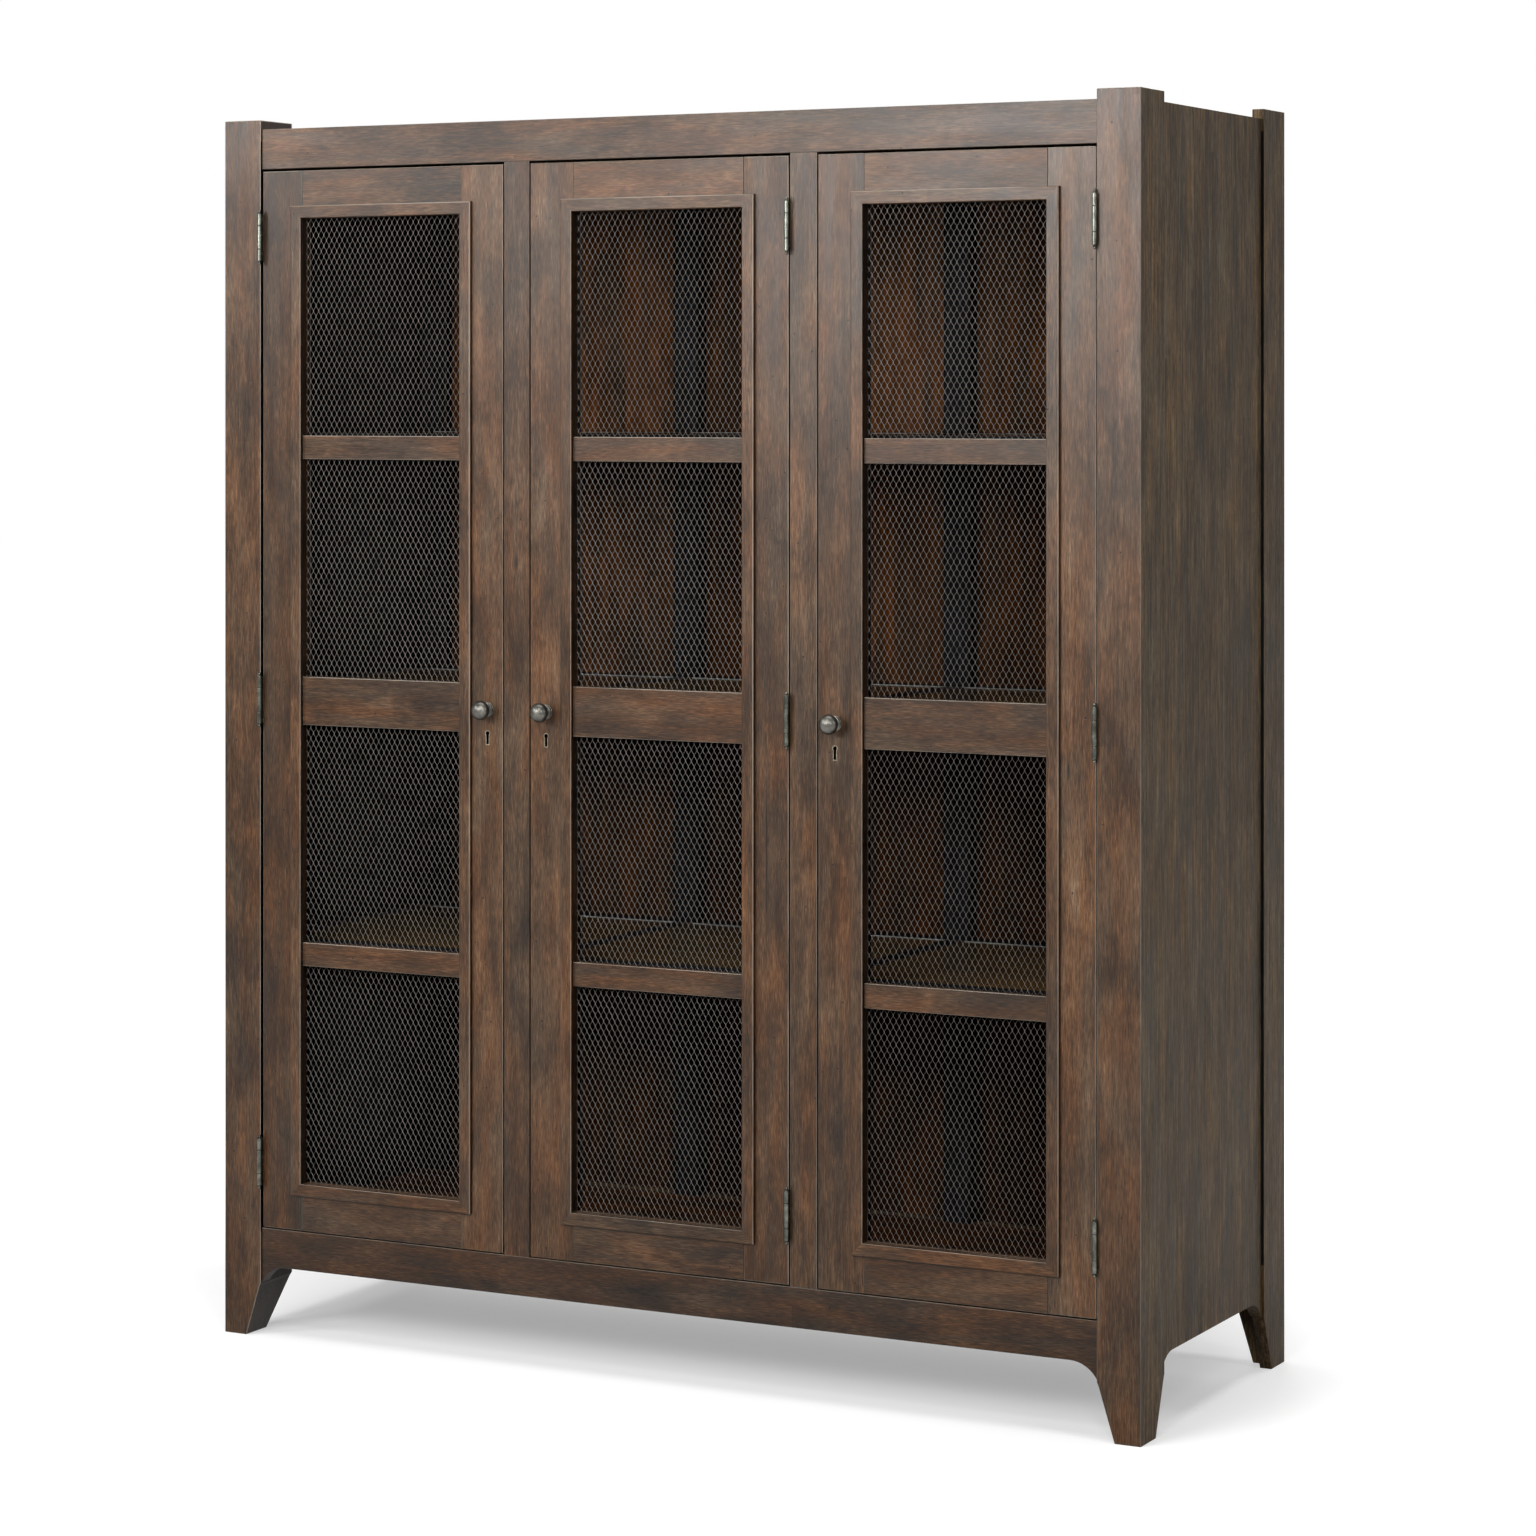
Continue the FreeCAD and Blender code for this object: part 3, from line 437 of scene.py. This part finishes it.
boards = {
    # node: (grain direction, material, eased edge in mm, shade of the stain, rubbing and painted highlight of the
    # edges)
    "front_post_left": ("z", frontWood, 1.4, -0.04, 0.7),
    "front_post_right": ("z", frontWood, 1.4, 0.0, 0.5),
    "back_post_left": ("z", sideWood, 1.2, 0.0, 0.5),
    "back_post_right": ("z", sideWood, 1.2, 0.0, 0.5),
    "top_rail": ("x", frontWood, 1.0, -0.06, 0.3),
    "bottom_rail": ("x", frontWood, 1.0, -0.18, 0.3),
    "mullion_left": ("z", frontWood, 1.2, -0.05, 0.5),
    "mullion_right": ("z", frontWood, 1.2, 0.0, 0.5),
    "side_panel_left": ("zSide", sideWood, 0.8, 0.0, 0.3),
    "side_panel_right": ("zSide", sideWood, 0.8, 0.0, 0.3),
    "top_panel": ("xFlat", frontWood, 0.8, -0.04, 0.5),
    "floor_panel": ("xFlat", innerWood, 0.8, -0.14, 0.3),
    "back_rail_top": ("x", blackWoodAndShadow, 0.8, 0.0, 0.3),
    "back_rail_bottom": ("x", sideWood, 0.8, 0.0, 0.3),
    "back_stile_left": ("z", blackWoodAndShadow, 0.8, 0.0, 0.3),
    "back_stile_right": ("z", blackWoodAndShadow, 0.8, 0.0, 0.3),
    "back_panel": ("z", innerWood, 0.8, 0.0, 0.3),
    "shelf_upper": ("xFlat", blackWoodAndShadow, 1.0, 0.0, 0.3),
    "shelf_middle": ("xFlat", blackWoodAndShadow, 1.0, 0.0, 0.3),
    "shelf_lower": ("xFlat", blackWoodAndShadow, 1.0, 0.0, 0.3),
    "shelf_cleats": ("y", innerWood, 0.8, 0.0, 0.3),
}
stiles = {"left": (-0.1, 0.04), "centre": (-0.02, 0.03), "right": (0.08, -0.04)}
for side, (hingeShade, lockShade) in stiles.items():
    boards["hinge_stile_" + side] = ("z", frontWood, 1.3, hingeShade, 0.8)
    boards["lock_stile_" + side] = ("z", frontWood, 1.3, lockShade, 0.9)
    boards["door_top_rail_" + side] = ("x", frontWood, 0.9, 0.0, 0.5)
    boards["door_bottom_rail_" + side] = ("x", frontWood, 0.9, -0.04, 0.5)
    boards["crossbars_" + side] = ("x", frontWood, 1.0, -0.05, 0.8)
    boards["mesh_strips_" + side] = ("z", frontWood, 0.6, -0.2, 0.3)

boardSet = {
    "paintedJointShade": -0.9,    # painted shade: the eased edges at the joints and gaps are drawn near black
    # painted shade on the sides and undersides of the front's boards, on the posts' inner faces and on edges
    # turned away from the lamps
    "sideShade": -0.3,
    "awayFromLampsShare": 0.4,    # share of the paler edge colour, rubbing and painted highlight, on edges turned away from the lamps
    "edgeLean": 0.3,       # parts of a face's normal by which it counts as turned that way
    "faceLean": 0.5,
    "squareLean": 0.8,
    "levelLean": 0.99,
    "backFall": 0.24,      # painted shade: the back panel's front gets darker by this for each metre down from its top
    "insideFrom": 0.17,    # metres, the part of the posts that stands inside the case
    "insideTo": 1.945,
}
# Faces seen from outside, stained like the sides
outerFaces = {"back_panel": Vector((0, 1, 0)), "back_rail_top": Vector((0, 0, 1))}
# Widths of a shelf's dark frame and the step down to its panels
shelfSet = {"front": 30, "back": 40, "ends": 30, "divider": 34, "lip": 1.5, "recess": 1.2}


# Cut a board's faces at some heights or widths, so that their parts can have their own finish
def score(shape, axis, places):
    for place in places:
        point = [0, 0, 0]
        way = [0, 0, 0]
        point[axis] = place
        way[axis] = 1
        geometry = shape.verts[:] + shape.edges[:] + shape.faces[:]
        bmesh.ops.bisect_plane(shape, geom=geometry, plane_co=point, plane_no=way)


# Sink a polished panel into each third of a shelf, with a painted highlight along each panel's back edge
def sinkPanels(shape, node):
    low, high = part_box(node)
    splits = [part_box(name) for name in ("mullion_left", "mullion_right")]
    half = mm(shelfSet["divider"]) / 2
    middles = [(box[0].x + box[1].x) / 2 for box in splits]
    starts = [low.x + mm(shelfSet["ends"])] + [middle + half for middle in middles]
    ends = [middle - half for middle in middles] + [high.x - mm(shelfSet["ends"])]
    front = low.y + mm(shelfSet["front"])
    back = high.y - mm(shelfSet["back"])
    score(shape, 0, starts + ends)
    score(shape, 1, (front, back))
    wear = shape.faces.layers.float["wear"]
    for start, end in zip(starts, ends):
        cells = []
        for face in shape.faces:
            spot = face.calc_center_median()
            if face.normal.z > boardSet["levelLean"] and start < spot.x < end and front < spot.y < back:
                cells.append(face)
        slopes = bmesh.ops.inset_region(shape, faces=cells, thickness=mm(shelfSet["lip"]),
                                        depth=-mm(shelfSet["recess"]), use_even_offset=True)["faces"]
        for face in cells:
            face.material_index = 1
        for face in slopes:
            face.material_index = 1
            # Painted highlight: the slope at the panel's back edge takes the pale edge colour as a light line
            face[wear] = 1 if face.calc_center_median().y > back - mm(shelfSet["lip"]) else 0


def boardPiece(node, direction, material, ease, shade, rubbingAndHighlight):
    board = easedCopy(node, ease)
    post = node.startswith(("front_post", "back_post", "side_panel"))
    if post:
        score(board, 2, (boardSet["insideFrom"], boardSet["insideTo"]))
    wear = board.faces.layers.float["wear"]
    shadeLayer = board.loops.layers.float.new("shade")
    low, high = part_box(node)
    middle = (low.x + high.x) / 2
    stile = "_stile_" in node and not node.startswith("back")
    pane = 0
    if stile:
        paneLow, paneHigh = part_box("bead_" + node.split("_")[-1])
        pane = math.copysign(1, (paneLow.x + paneHigh.x) / 2 - middle)
    outward = -1 if node.endswith("left") else 1
    edgeLean = boardSet["edgeLean"]
    faceLean = boardSet["faceLean"]
    squareLean = boardSet["squareLean"]
    for face in board.faces:
        way = face.normal
        height = face.calc_center_median().z
        inside = boardSet["insideFrom"] < height < boardSet["insideTo"]
        joint = abs(way.x) > edgeLean and (direction == "x" or way.x * pane > 0)
        lit = max(way.x, way.z) > edgeLean
        tone = shade
        # Painted shade: eased edges where boards meet at joints and gaps go near black
        if face[wear] and joint:
            face[wear] = 0
            tone = boardSet["paintedJointShade"]
        elif face[wear]:
            # Painted highlight: eased edges turned toward the lamps keep all of the paler edge colour, edges
            # turned away keep only a share and take the painted side shade
            face[wear] = rubbingAndHighlight if lit else rubbingAndHighlight * boardSet["awayFromLampsShare"]
            tone = shade if lit else boardSet["sideShade"]
        # Painted shade on the sides and undersides of the front's boards, toward the gaps
        elif max(abs(way.x), -way.z) > faceLean and material is frontWood and not post:
            tone = boardSet["sideShade"]
        # Painted shadow: the back posts' front faces between foot and top, in the shade of the front posts, take
        # the near-black wood
        if node.startswith("back_post") and way.y < -squareLean and inside:
            face.material_index = 1
        # Inner faces between foot and top take the near-black wood with the painted side shade, which paints the
        # shade in the gaps beside the doors; the feet keep their wood
        elif post and way.x * outward < -squareLean:
            face.material_index = 1 if inside else 0
            tone = shade + boardSet["sideShade"]
        elif post and way.x * outward > squareLean:
            face.material_index = 2
        if node in outerFaces and way.dot(outerFaces[node]) > faceLean:
            face.material_index = 1
        # Painted shade: the back panel is darker lower down, where less light gets in
        paintedShadeFall = boardSet["backFall"] if node == "back_panel" and way.y < -faceLean else 0
        for loop in face.loops:
            loop[shadeLayer] = tone - paintedShadeFall * (high.z - loop.vert.co.z)
    materials = [blackWoodAndShadow, sideWood] if post else [sideWood] if node in outerFaces else []
    if node.startswith("shelf_") and node != "shelf_cleats":
        sinkPanels(board, node)
        materials = [shelfWood]
    layGrain(board, node, direction)
    piece = settle(board, node, material)
    for extra in materials:
        piece.data.materials.append(extra)
    evenShade(piece)


for node, plan in boards.items():
    boardPiece(node, *plan)
print("boards made:", len(boards))


def arc(centre, radius, start, end, steps):
    angles = [math.radians(start + (end - start) * step / steps) for step in range(steps + 1)]
    return [(centre[0] + radius * math.cos(angle), centre[1] + radius * math.sin(angle))
            for angle in angles]


# Bead round each pane: a slim moulding with a rounded outer edge, mitred at the corners

beadSet = {
    "outerRound": 2.4, "innerRound": 1.5, "steps": 4, "rubbingAndHighlight": 0.5,
    "roundFrom": 0.2, "roundTo": 0.98, "litFrom": 0.1,  # parts of a face's normal
}


def beadPiece(side):
    node = "bead_" + side
    low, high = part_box(node)
    paneLow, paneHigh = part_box("crossbars_" + side)
    width = paneLow.x - low.x
    rise = high.y - low.y
    inner = mm(beadSet["innerRound"])
    outer = mm(beadSet["outerRound"])
    profile = [(0, 0)] + arc((inner, rise - inner), inner, 180, 90, beadSet["steps"])
    profile += arc((width - outer, rise - outer), outer, 90, 0, beadSet["steps"]) + [(width, 0)]
    shape = bmesh.new()
    wear = shape.faces.layers.float.new("wear")
    rings = []
    for out, height in profile:
        corners = [(paneLow.x - out, low.z + width - out), (paneHigh.x + out, low.z + width - out),
                   (paneHigh.x + out, high.z - width + out), (paneLow.x - out, high.z - width + out)]
        rings.append([shape.verts.new((x, high.y - height, z)) for x, z in corners])
    directions = []
    for place, ring in enumerate(rings):
        after = rings[(place + 1) % len(rings)]
        for corner in range(4):
            following = (corner + 1) % 4
            face = shape.faces.new((ring[corner], ring[following], after[following], after[corner]))
            directions.append("x" if corner % 2 == 0 else "z")
            face.smooth = True
    bmesh.ops.recalc_face_normals(shape, faces=shape.faces)
    for face in shape.faces:
        # Painted highlight: only rounded faces turned toward the lamps take the paler edge colour
        rounded = beadSet["roundFrom"] < abs(face.normal.y) < beadSet["roundTo"]
        lit = max(face.normal.x, face.normal.z) > beadSet["litFrom"]
        face[wear] = beadSet["rubbingAndHighlight"] if rounded and lit else 0
    shape.faces.index_update()
    layGrain(shape, node, lambda face: directions[face.index])
    evenShade(settle(shape, node, frontWood))


for side in ("left", "centre", "right"):
    beadPiece(side)
print("beads made")


# Expanded metal: slit sheet pulled sideways, so each strand zigzags from bond to bond

meshSet = {
    "diamondWidth": 10,
    "diamondHeight": 17.5,
    "strandWidth": 0.7,
    "strandThickness": 0.4,
    "bondLength": 3.2,
    # degrees that the strands turn to one side, pane by pane from the bottom, as the sheet bows
    "tilts": {"left": (28, 22, 22, 27), "centre": (24, 20, 20, 24), "right": (31, 30, 28, 14)},
    "turnFrom": 0.3,       # shares of the way between two panes where the tilt changes
    "turnTo": 0.7,
}


def meshPiece(side):
    node = "mesh_panel_" + side
    low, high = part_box(node)
    halfWidth = (high.x - low.x) / round((high.x - low.x) / mm(meshSet["diamondWidth"]) * 2)
    halfHeight = (high.z - low.z) / round((high.z - low.z) / mm(meshSet["diamondHeight"]) * 2)
    columns = round((high.x - low.x) / halfWidth)
    rows = round((high.z - low.z) / halfHeight)
    middle = (low.y + high.y) / 2
    tilts = meshSet["tilts"][side]
    points = []
    faces = []
    for column in range(columns):
        first = len(points)
        for row in range(rows + 1):
            level = min(max(row / rows * len(tilts) - 0.5, 0), len(tilts) - 1.001)
            share = (level % 1 - meshSet["turnFrom"]) / (meshSet["turnTo"] - meshSet["turnFrom"])
            share = min(max(share, 0), 1)
            turn = math.radians(tilts[int(level)] * (1 - share) + tilts[int(level) + 1] * share)
            across = Vector((math.cos(turn), math.sin(turn), 0)) * mm(meshSet["strandWidth"]) / 2
            through = Vector((-math.sin(turn), math.cos(turn), 0)) * mm(meshSet["strandThickness"]) / 2
            onRight = (row + column) % 2
            # Partners in a bond lie side by side
            centre = Vector((low.x + (column + onRight) * halfWidth, middle, low.z + row * halfHeight))
            centre += across * (1 - 2 * onRight)
            for step in (-1, 1):
                knot = centre + Vector((0, 0, step * mm(meshSet["bondLength"]) / 2))
                knot.z = min(max(knot.z, low.z), high.z)
                start = len(points)
                points += [knot - across - through, knot + across - through,
                           knot + across + through, knot - across + through]
                if start > first:
                    for corner in range(4):
                        following = (corner + 1) % 4
                        faces.append((start - 4 + corner, start - 4 + following,
                                      start + following, start + corner))
        faces.append((first + 3, first + 2, first + 1, first))
        faces.append((start, start + 1, start + 2, start + 3))
    mesh = bpy.data.meshes.new(pieceName(node))
    mesh.from_pydata([tuple(point) for point in points], [], faces)
    mesh.update()
    settle(mesh, node, meshSteel)
    return len(faces)


for side in ("left", "centre", "right"):
    count = meshPiece(side)
print("mesh panels made:", count, "faces each")


# Turned metal: knobs and hinge pins

# Spin (radius, distance) points in mm about an axis from a place
def turned(shape, profile, place, axis, segments):
    turn = Vector((0, 0, 1)).rotation_difference(Vector(axis)).to_matrix().to_4x4()
    matrix = Matrix.Translation(place) @ turn
    rings = []
    angles = [math.tau * step / segments for step in range(segments)]
    for radius, distance in profile:
        spots = [Vector((mm(radius * math.cos(angle)), mm(radius * math.sin(angle)), mm(distance)))
                 for angle in angles]
        rings.append([shape.verts.new(matrix @ spot) for spot in spots])
    for ring, after in zip(rings, rings[1:]):
        for step in range(segments):
            following = (step + 1) % segments
            face = shape.faces.new((ring[step], ring[following], after[following], after[step]))
            face.smooth = True
    shape.faces.new(list(reversed(rings[0])))
    shape.faces.new(rings[-1])


knobSet = {
    "roseRadius": 12, "roseDepth": 3, "roseFoot": 0.8, "roseRound": 1.1, "roseShoulder": (0.6, 2.4),
    "ribRadius": 8.5, "ribs": 4, "ribPitch": 2.1, "ribArc": 80, "ribGap": 0.2,
    "neckRadius": 5.4, "neckFillet": 0.8,
    "headRadius": 15.5, "headStart": 15.5, "rim": 2.2, "rimLevel": 4.5,
    "flare": ((0.62, 1.2), (0.86, 2.8)),  # shares of the head's radius, and mm from its start
    "domeSteps": 12, "domeInset": 0.3, "tip": 0.05, "reach": 34, "arcSteps": 6, "segments": 56,
}


def knobPiece(side):
    node = "knob_" + side
    low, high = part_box(node)
    place = Vector(((low.x + high.x) / 2, high.y, (low.z + high.z) / 2))
    steps = knobSet["arcSteps"]
    rose = knobSet["roseRadius"]
    bend = knobSet["roseRound"]
    profile = [(rose - knobSet["roseFoot"], 0)] + arc((rose - bend, bend), bend, -30, 120, steps)
    shoulder, depth = knobSet["roseShoulder"]
    profile += [(knobSet["ribRadius"] + shoulder, depth),
                (knobSet["ribRadius"] - shoulder, knobSet["roseDepth"])]
    level = knobSet["roseDepth"] + knobSet["ribGap"]
    half = knobSet["ribPitch"] / 2
    bow = knobSet["ribArc"]
    for rib in range(knobSet["ribs"]):
        profile += arc((knobSet["ribRadius"] - half, level + half), half, -bow, bow, steps)
        level += knobSet["ribPitch"]
    neck = knobSet["neckRadius"]
    start = knobSet["headStart"]
    profile += [(neck, level + knobSet["neckFillet"]), (neck, start)]
    # Underside flares to the rim, then the dome closes
    head = knobSet["headRadius"]
    rim = knobSet["rim"]
    profile += [(head * share, start + rise) for share, rise in knobSet["flare"]]
    profile += arc((head - rim, start + knobSet["rimLevel"] + rim * 0.5), rim, -50, 30, steps)
    top = profile[-1][1]
    rise = knobSet["reach"] - top
    for step in range(1, knobSet["domeSteps"]):
        angle = math.radians(90 * step / knobSet["domeSteps"])
        profile.append(((head - knobSet["domeInset"]) * math.cos(angle), top + rise * math.sin(angle)))
    profile.append((knobSet["tip"], knobSet["reach"]))
    shape = bmesh.new()
    turned(shape, profile, place, (0, -1, 0), knobSet["segments"])
    bmesh.ops.recalc_face_normals(shape, faces=shape.faces)
    evenShade(settle(shape, node, pewter))


for side in ("left", "centre", "right"):
    knobPiece(side)


hingeSet = {
    "barrelLength": 76, "pinRadius": 2.25, "neckRadius": 2.0, "neckLength": 1.1, "neckStep": 0.1,
    "ringRadius": 3.5, "ringRound": 0.4, "waistRadius": 1.7, "waistStart": 0.2,
    "ballRadius": 2.5, "ballSink": 0.8, "barrelRadius": 4, "barrelFit": 0.1, "rimRound": 0.8,
    "segments": 24,
}


# A loose pin, tip to tip: neck, ring, waist and ball at each end
def pinProfile():
    level = hingeSet["barrelLength"] / 2
    ball = hingeSet["ballRadius"]
    bend = hingeSet["ringRound"]
    neck = hingeSet["neckRadius"]
    half = [(hingeSet["pinRadius"], 0), (hingeSet["pinRadius"], level), (neck, level + hingeSet["neckStep"])]
    level += hingeSet["neckLength"]
    half.append((neck, level))
    half += arc((hingeSet["ringRadius"] - bend, level + bend), bend, -90, 90, 4)
    level += 2 * bend
    half.append((hingeSet["waistRadius"], level + hingeSet["waistStart"]))
    half += arc((0, level + ball * hingeSet["ballSink"]), ball, -45, 88, 10)
    return [(radius, -distance) for radius, distance in reversed(half)] + half[1:]


# Round the ends of the knuckles, so that their joints show as grooves
def leafCopy(node, axes):
    shape = bmesh.new()
    shape.from_mesh(frame["nodes"][node].data)
    bmesh.ops.remove_doubles(shape, verts=shape.verts, dist=mm(meshTidy["weld"]))
    bmesh.ops.dissolve_limit(shape, angle_limit=math.radians(meshTidy["flat"]),
                             verts=shape.verts, edges=shape.edges)
    barrel = mm(hingeSet["barrelRadius"])
    slack = mm(hingeSet["barrelFit"])
    outer = {vert for vert in shape.verts for x, y, z in axes
             if abs(math.hypot(vert.co.x - x, vert.co.y - y) - barrel) < slack}
    rims = []
    for edge in shape.edges:
        start, end = edge.verts
        if start in outer and end in outer and abs(start.co.z - end.co.z) < mm(meshTidy["weld"]):
            rims.append(edge)
    bmesh.ops.bevel(shape, geom=rims, offset=mm(hingeSet["rimRound"]), segments=2, profile=0.5,
                    affect="EDGES", clamp_overlap=False)
    for face in shape.faces:
        face.smooth = True
    return shape


def hingePieces():
    pins = bmesh.new()
    places = {joint["child"]: joint["pos_m"] for joint in frame["joints"] if joint["type"] == "hinge"}
    for side in ("left", "centre", "right"):
        low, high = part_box("hinge_leaves_" + side)
        half = mm(hingeSet["barrelLength"]) / 2
        x, y, z = places["door_" + side]
        for level in (low.z + half, (low.z + high.z) / 2, high.z - half):
            turned(pins, pinProfile(), Vector((x, y, level)), (0, 0, 1), hingeSet["segments"])
    bmesh.ops.recalc_face_normals(pins, faces=pins.faces)
    evenShade(settle(pins, "hinge_pins", hingeSteel))
    for node in ("case_hinge_leaves", "hinge_leaves_left", "hinge_leaves_centre", "hinge_leaves_right"):
        evenShade(settle(leafCopy(node, list(places.values())), node, hingeSteel))


hingePieces()


lockSet = {"rimEase": 0.2, "boltEase": 0.5, "rimDepth": 1}

for side in ("left", "centre", "right"):
    lock = easedCopy("lock_" + side, lockSet["rimEase"])
    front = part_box("lock_" + side)[0].y
    # Only the rim of the keyhole is bright
    for face in lock.faces:
        rim = face.normal.y < -0.5 and face.calc_center_median().y < front + mm(lockSet["rimDepth"])
        face.material_index = 0 if rim else 1
    piece = settle(lock, "lock_" + side, nickel)
    piece.data.materials.append(oiledSteel)
    evenShade(piece)
    evenShade(settle(easedCopy("lock_bolt_" + side, lockSet["boltEase"]), "lock_bolt_" + side, nickel))
print("knobs, hinges and locks made")


# Magnetic catches: a moulded case with two steel pole strips on its face

catchSet = {
    "ease": 1.2,
    "poles": (0.3, 0.7),   # places across the case, as shares of its width
    "poleWidth": 1.6, "poleDepth": 0.6, "poleEase": 0.15, "poleOut": 0.2,
    "poleHeight": 0.7,     # share of the case's height
}


# Lowest and highest corners of each separate solid of a node
def solidBoxes(node):
    shape = bmesh.new()
    shape.from_mesh(frame["nodes"][node].data)
    bmesh.ops.remove_doubles(shape, verts=shape.verts, dist=mm(meshTidy["weld"]))
    left = set(shape.verts)
    found = []
    while left:
        group = {left.pop()}
        edge = set(group)
        while edge:
            edge = {other for vert in edge for link in vert.link_edges
                    for other in link.verts} - group
            group |= edge
        left -= group
        found.append([Vector([pick(vert.co[axis] for vert in group) for axis in range(3)])
                      for pick in (min, max)])
    shape.free()
    return found


def catchPieces():
    node = "door_catches"
    evenShade(settle(easedCopy(node, catchSet["ease"]), node, brownPlastic))
    strips = bmesh.new()
    for low, high in solidBoxes(node):
        for share in catchSet["poles"]:
            size = Vector((mm(catchSet["poleWidth"]), mm(catchSet["poleDepth"]),
                           (high.z - low.z) * catchSet["poleHeight"]))
            middle = Vector((low.x + (high.x - low.x) * share, low.y + mm(catchSet["poleOut"]),
                             (low.z + high.z) / 2))
            for vert in bmesh.ops.create_cube(strips, size=1)["verts"]:
                vert.co = middle + vert.co * size
    bmesh.ops.bevel(strips, geom=strips.edges[:], offset=mm(catchSet["poleEase"]), segments=2,
                    profile=0.5, affect="EDGES")
    bmesh.ops.recalc_face_normals(strips, faces=strips.faces)
    settle(strips, node, nickel, name="catchPoles", replaces=False)


catchPieces()
print("catches made")


# Floor, world and lights

stageSet = {
    "floorSize": 60, "floorColour": "#cccccc", "bounceColour": "#707070",
    "nearGlow": 0.38, "farGlow": 1.0,     # strength of the floor's own white, near and far
    "glowFrom": 0.95, "glowTo": 1.75,     # metres from glowMiddle
    "glowMiddle": (-0.2, -0.15, 0), "ambient": 0.05,
}


# 1 for rays that show the background: straight, mirrored or let through
def whiteToLens(tree):
    path = addNode(tree, "LightPath")
    seen = addNode(tree, "Math", {"operation": "MAXIMUM"},
                   {0: path.outputs["Is Camera Ray"], 1: path.outputs["Is Glossy Ray"]})
    return addNode(tree, "Math", {"operation": "MAXIMUM"},
                   {0: seen, 1: path.outputs["Is Transmission Ray"]})


def makeFloor():
    material, tree, shader = newMaterial("whiteStudioFloor", {"Roughness": 0.9, "Specular IOR Level": 0})
    shader.inputs["Emission Color"].default_value = linear("#ffffff")
    # Darker to light that bounces, so that the inside stays dim
    seen = whiteToLens(tree)
    colour = addNode(tree, "MixRGB", {"Color1": linear(stageSet["bounceColour"]),
                                      "Color2": linear(stageSet["floorColour"])}, {"Fac": seen})
    tree.links.new(colour.outputs[0], shader.inputs["Base Color"])
    # White further out, where the lamps don't reach. The glow rises away from glowMiddle, left of and in front of
    # the cabinet, so that it paints light over the lamps' shadow to the right of the cabinet
    spot = addNode(tree, "TexCoord").outputs["Object"]
    reach = addNode(tree, "VectorMath", {"operation": "DISTANCE", 1: stageSet["glowMiddle"]},
                    {0: spot}).outputs["Value"]
    glow = addNode(tree, "MapRange", {"From Min": stageSet["glowFrom"], "From Max": stageSet["glowTo"],
                                      "To Min": stageSet["nearGlow"], "To Max": stageSet["farGlow"]},
                   {0: reach})
    glow = addNode(tree, "Math", {"operation": "MULTIPLY"}, {0: glow, 1: seen})
    tree.links.new(glow.outputs[0], shader.inputs["Emission Strength"])
    half = stageSet["floorSize"] / 2
    mesh = bpy.data.meshes.new("floor")
    mesh.from_pydata([(-half, -half, 0), (half, -half, 0), (half, half, 0), (-half, half, 0)], [],
                     [(0, 1, 2, 3)])
    mesh.materials.append(material)
    floor = bpy.data.objects.new("floor", mesh)
    bpy.context.collection.objects.link(floor)


def makeWorld():
    world = bpy.data.worlds.new("studio")
    bpy.context.scene.world = world
    world.use_nodes = True
    tree = world.node_tree
    back = tree.nodes["Background"]
    back.inputs["Color"].default_value = linear("#ffffff")
    strength = addNode(tree, "MapRange", {"To Min": stageSet["ambient"], "To Max": 1},
                       {0: whiteToLens(tree)})
    tree.links.new(strength.outputs[0], back.inputs["Strength"])


lamps = {
    # name: (place, aimed at, width, height, radiance)
    "keySoftbox": ((-0.85, -3.7, 2.08), (0.1, -0.3, 1.7), 2.1, 0.8, 17.5),
    "nearSoftbox": ((0.05, -1.95, 2.28), (0.1, -0.3, 1.75), 0.6, 0.32, 20),
    "leftSoftbox": ((-2.5, -2.6, 2.4), (-0.5, -0.3, 1.7), 0.9, 0.6, 23),
    "frontSoftbox": ((1.1, -3.7, 2.8), (0.0, -0.3, 1.3), 0.4, 0.6, 26),
    "rightSoftbox": ((2.3, -3.6, 2.1), (0.2, -0.3, 1.0), 0.45, 1.3, 22),
    "sideSoftbox": ((4.6, -1.6, 2.6), (0.8, 0.0, 1.0), 0.9, 1.2, 9),
    "topSoftbox": ((0.0, -0.2, 6.5), (0.0, 0.0, 0.0), 4.5, 4.5, 5.0),
    "backSoftbox": ((-1.2, 4.4, 2.6), (0.0, 0.3, 1.0), 1.6, 1.4, 9),
}


def makeLamps():
    for name, (place, aim, width, height, radiance) in lamps.items():
        light = bpy.data.lights.new(name, "AREA")
        light.shape = "RECTANGLE"
        light.size = width
        light.size_y = height
        light.energy = radiance * math.pi * width * height
        lamp = bpy.data.objects.new(name, light)
        lamp.location = place
        lamp.rotation_euler = (Vector(aim) - Vector(place)).to_track_quat("-Z", "Y").to_euler()
        bpy.context.collection.objects.link(lamp)


makeFloor()
makeWorld()
makeLamps()
bpy.context.scene.view_settings.view_transform = "Standard"
print("stage lit")
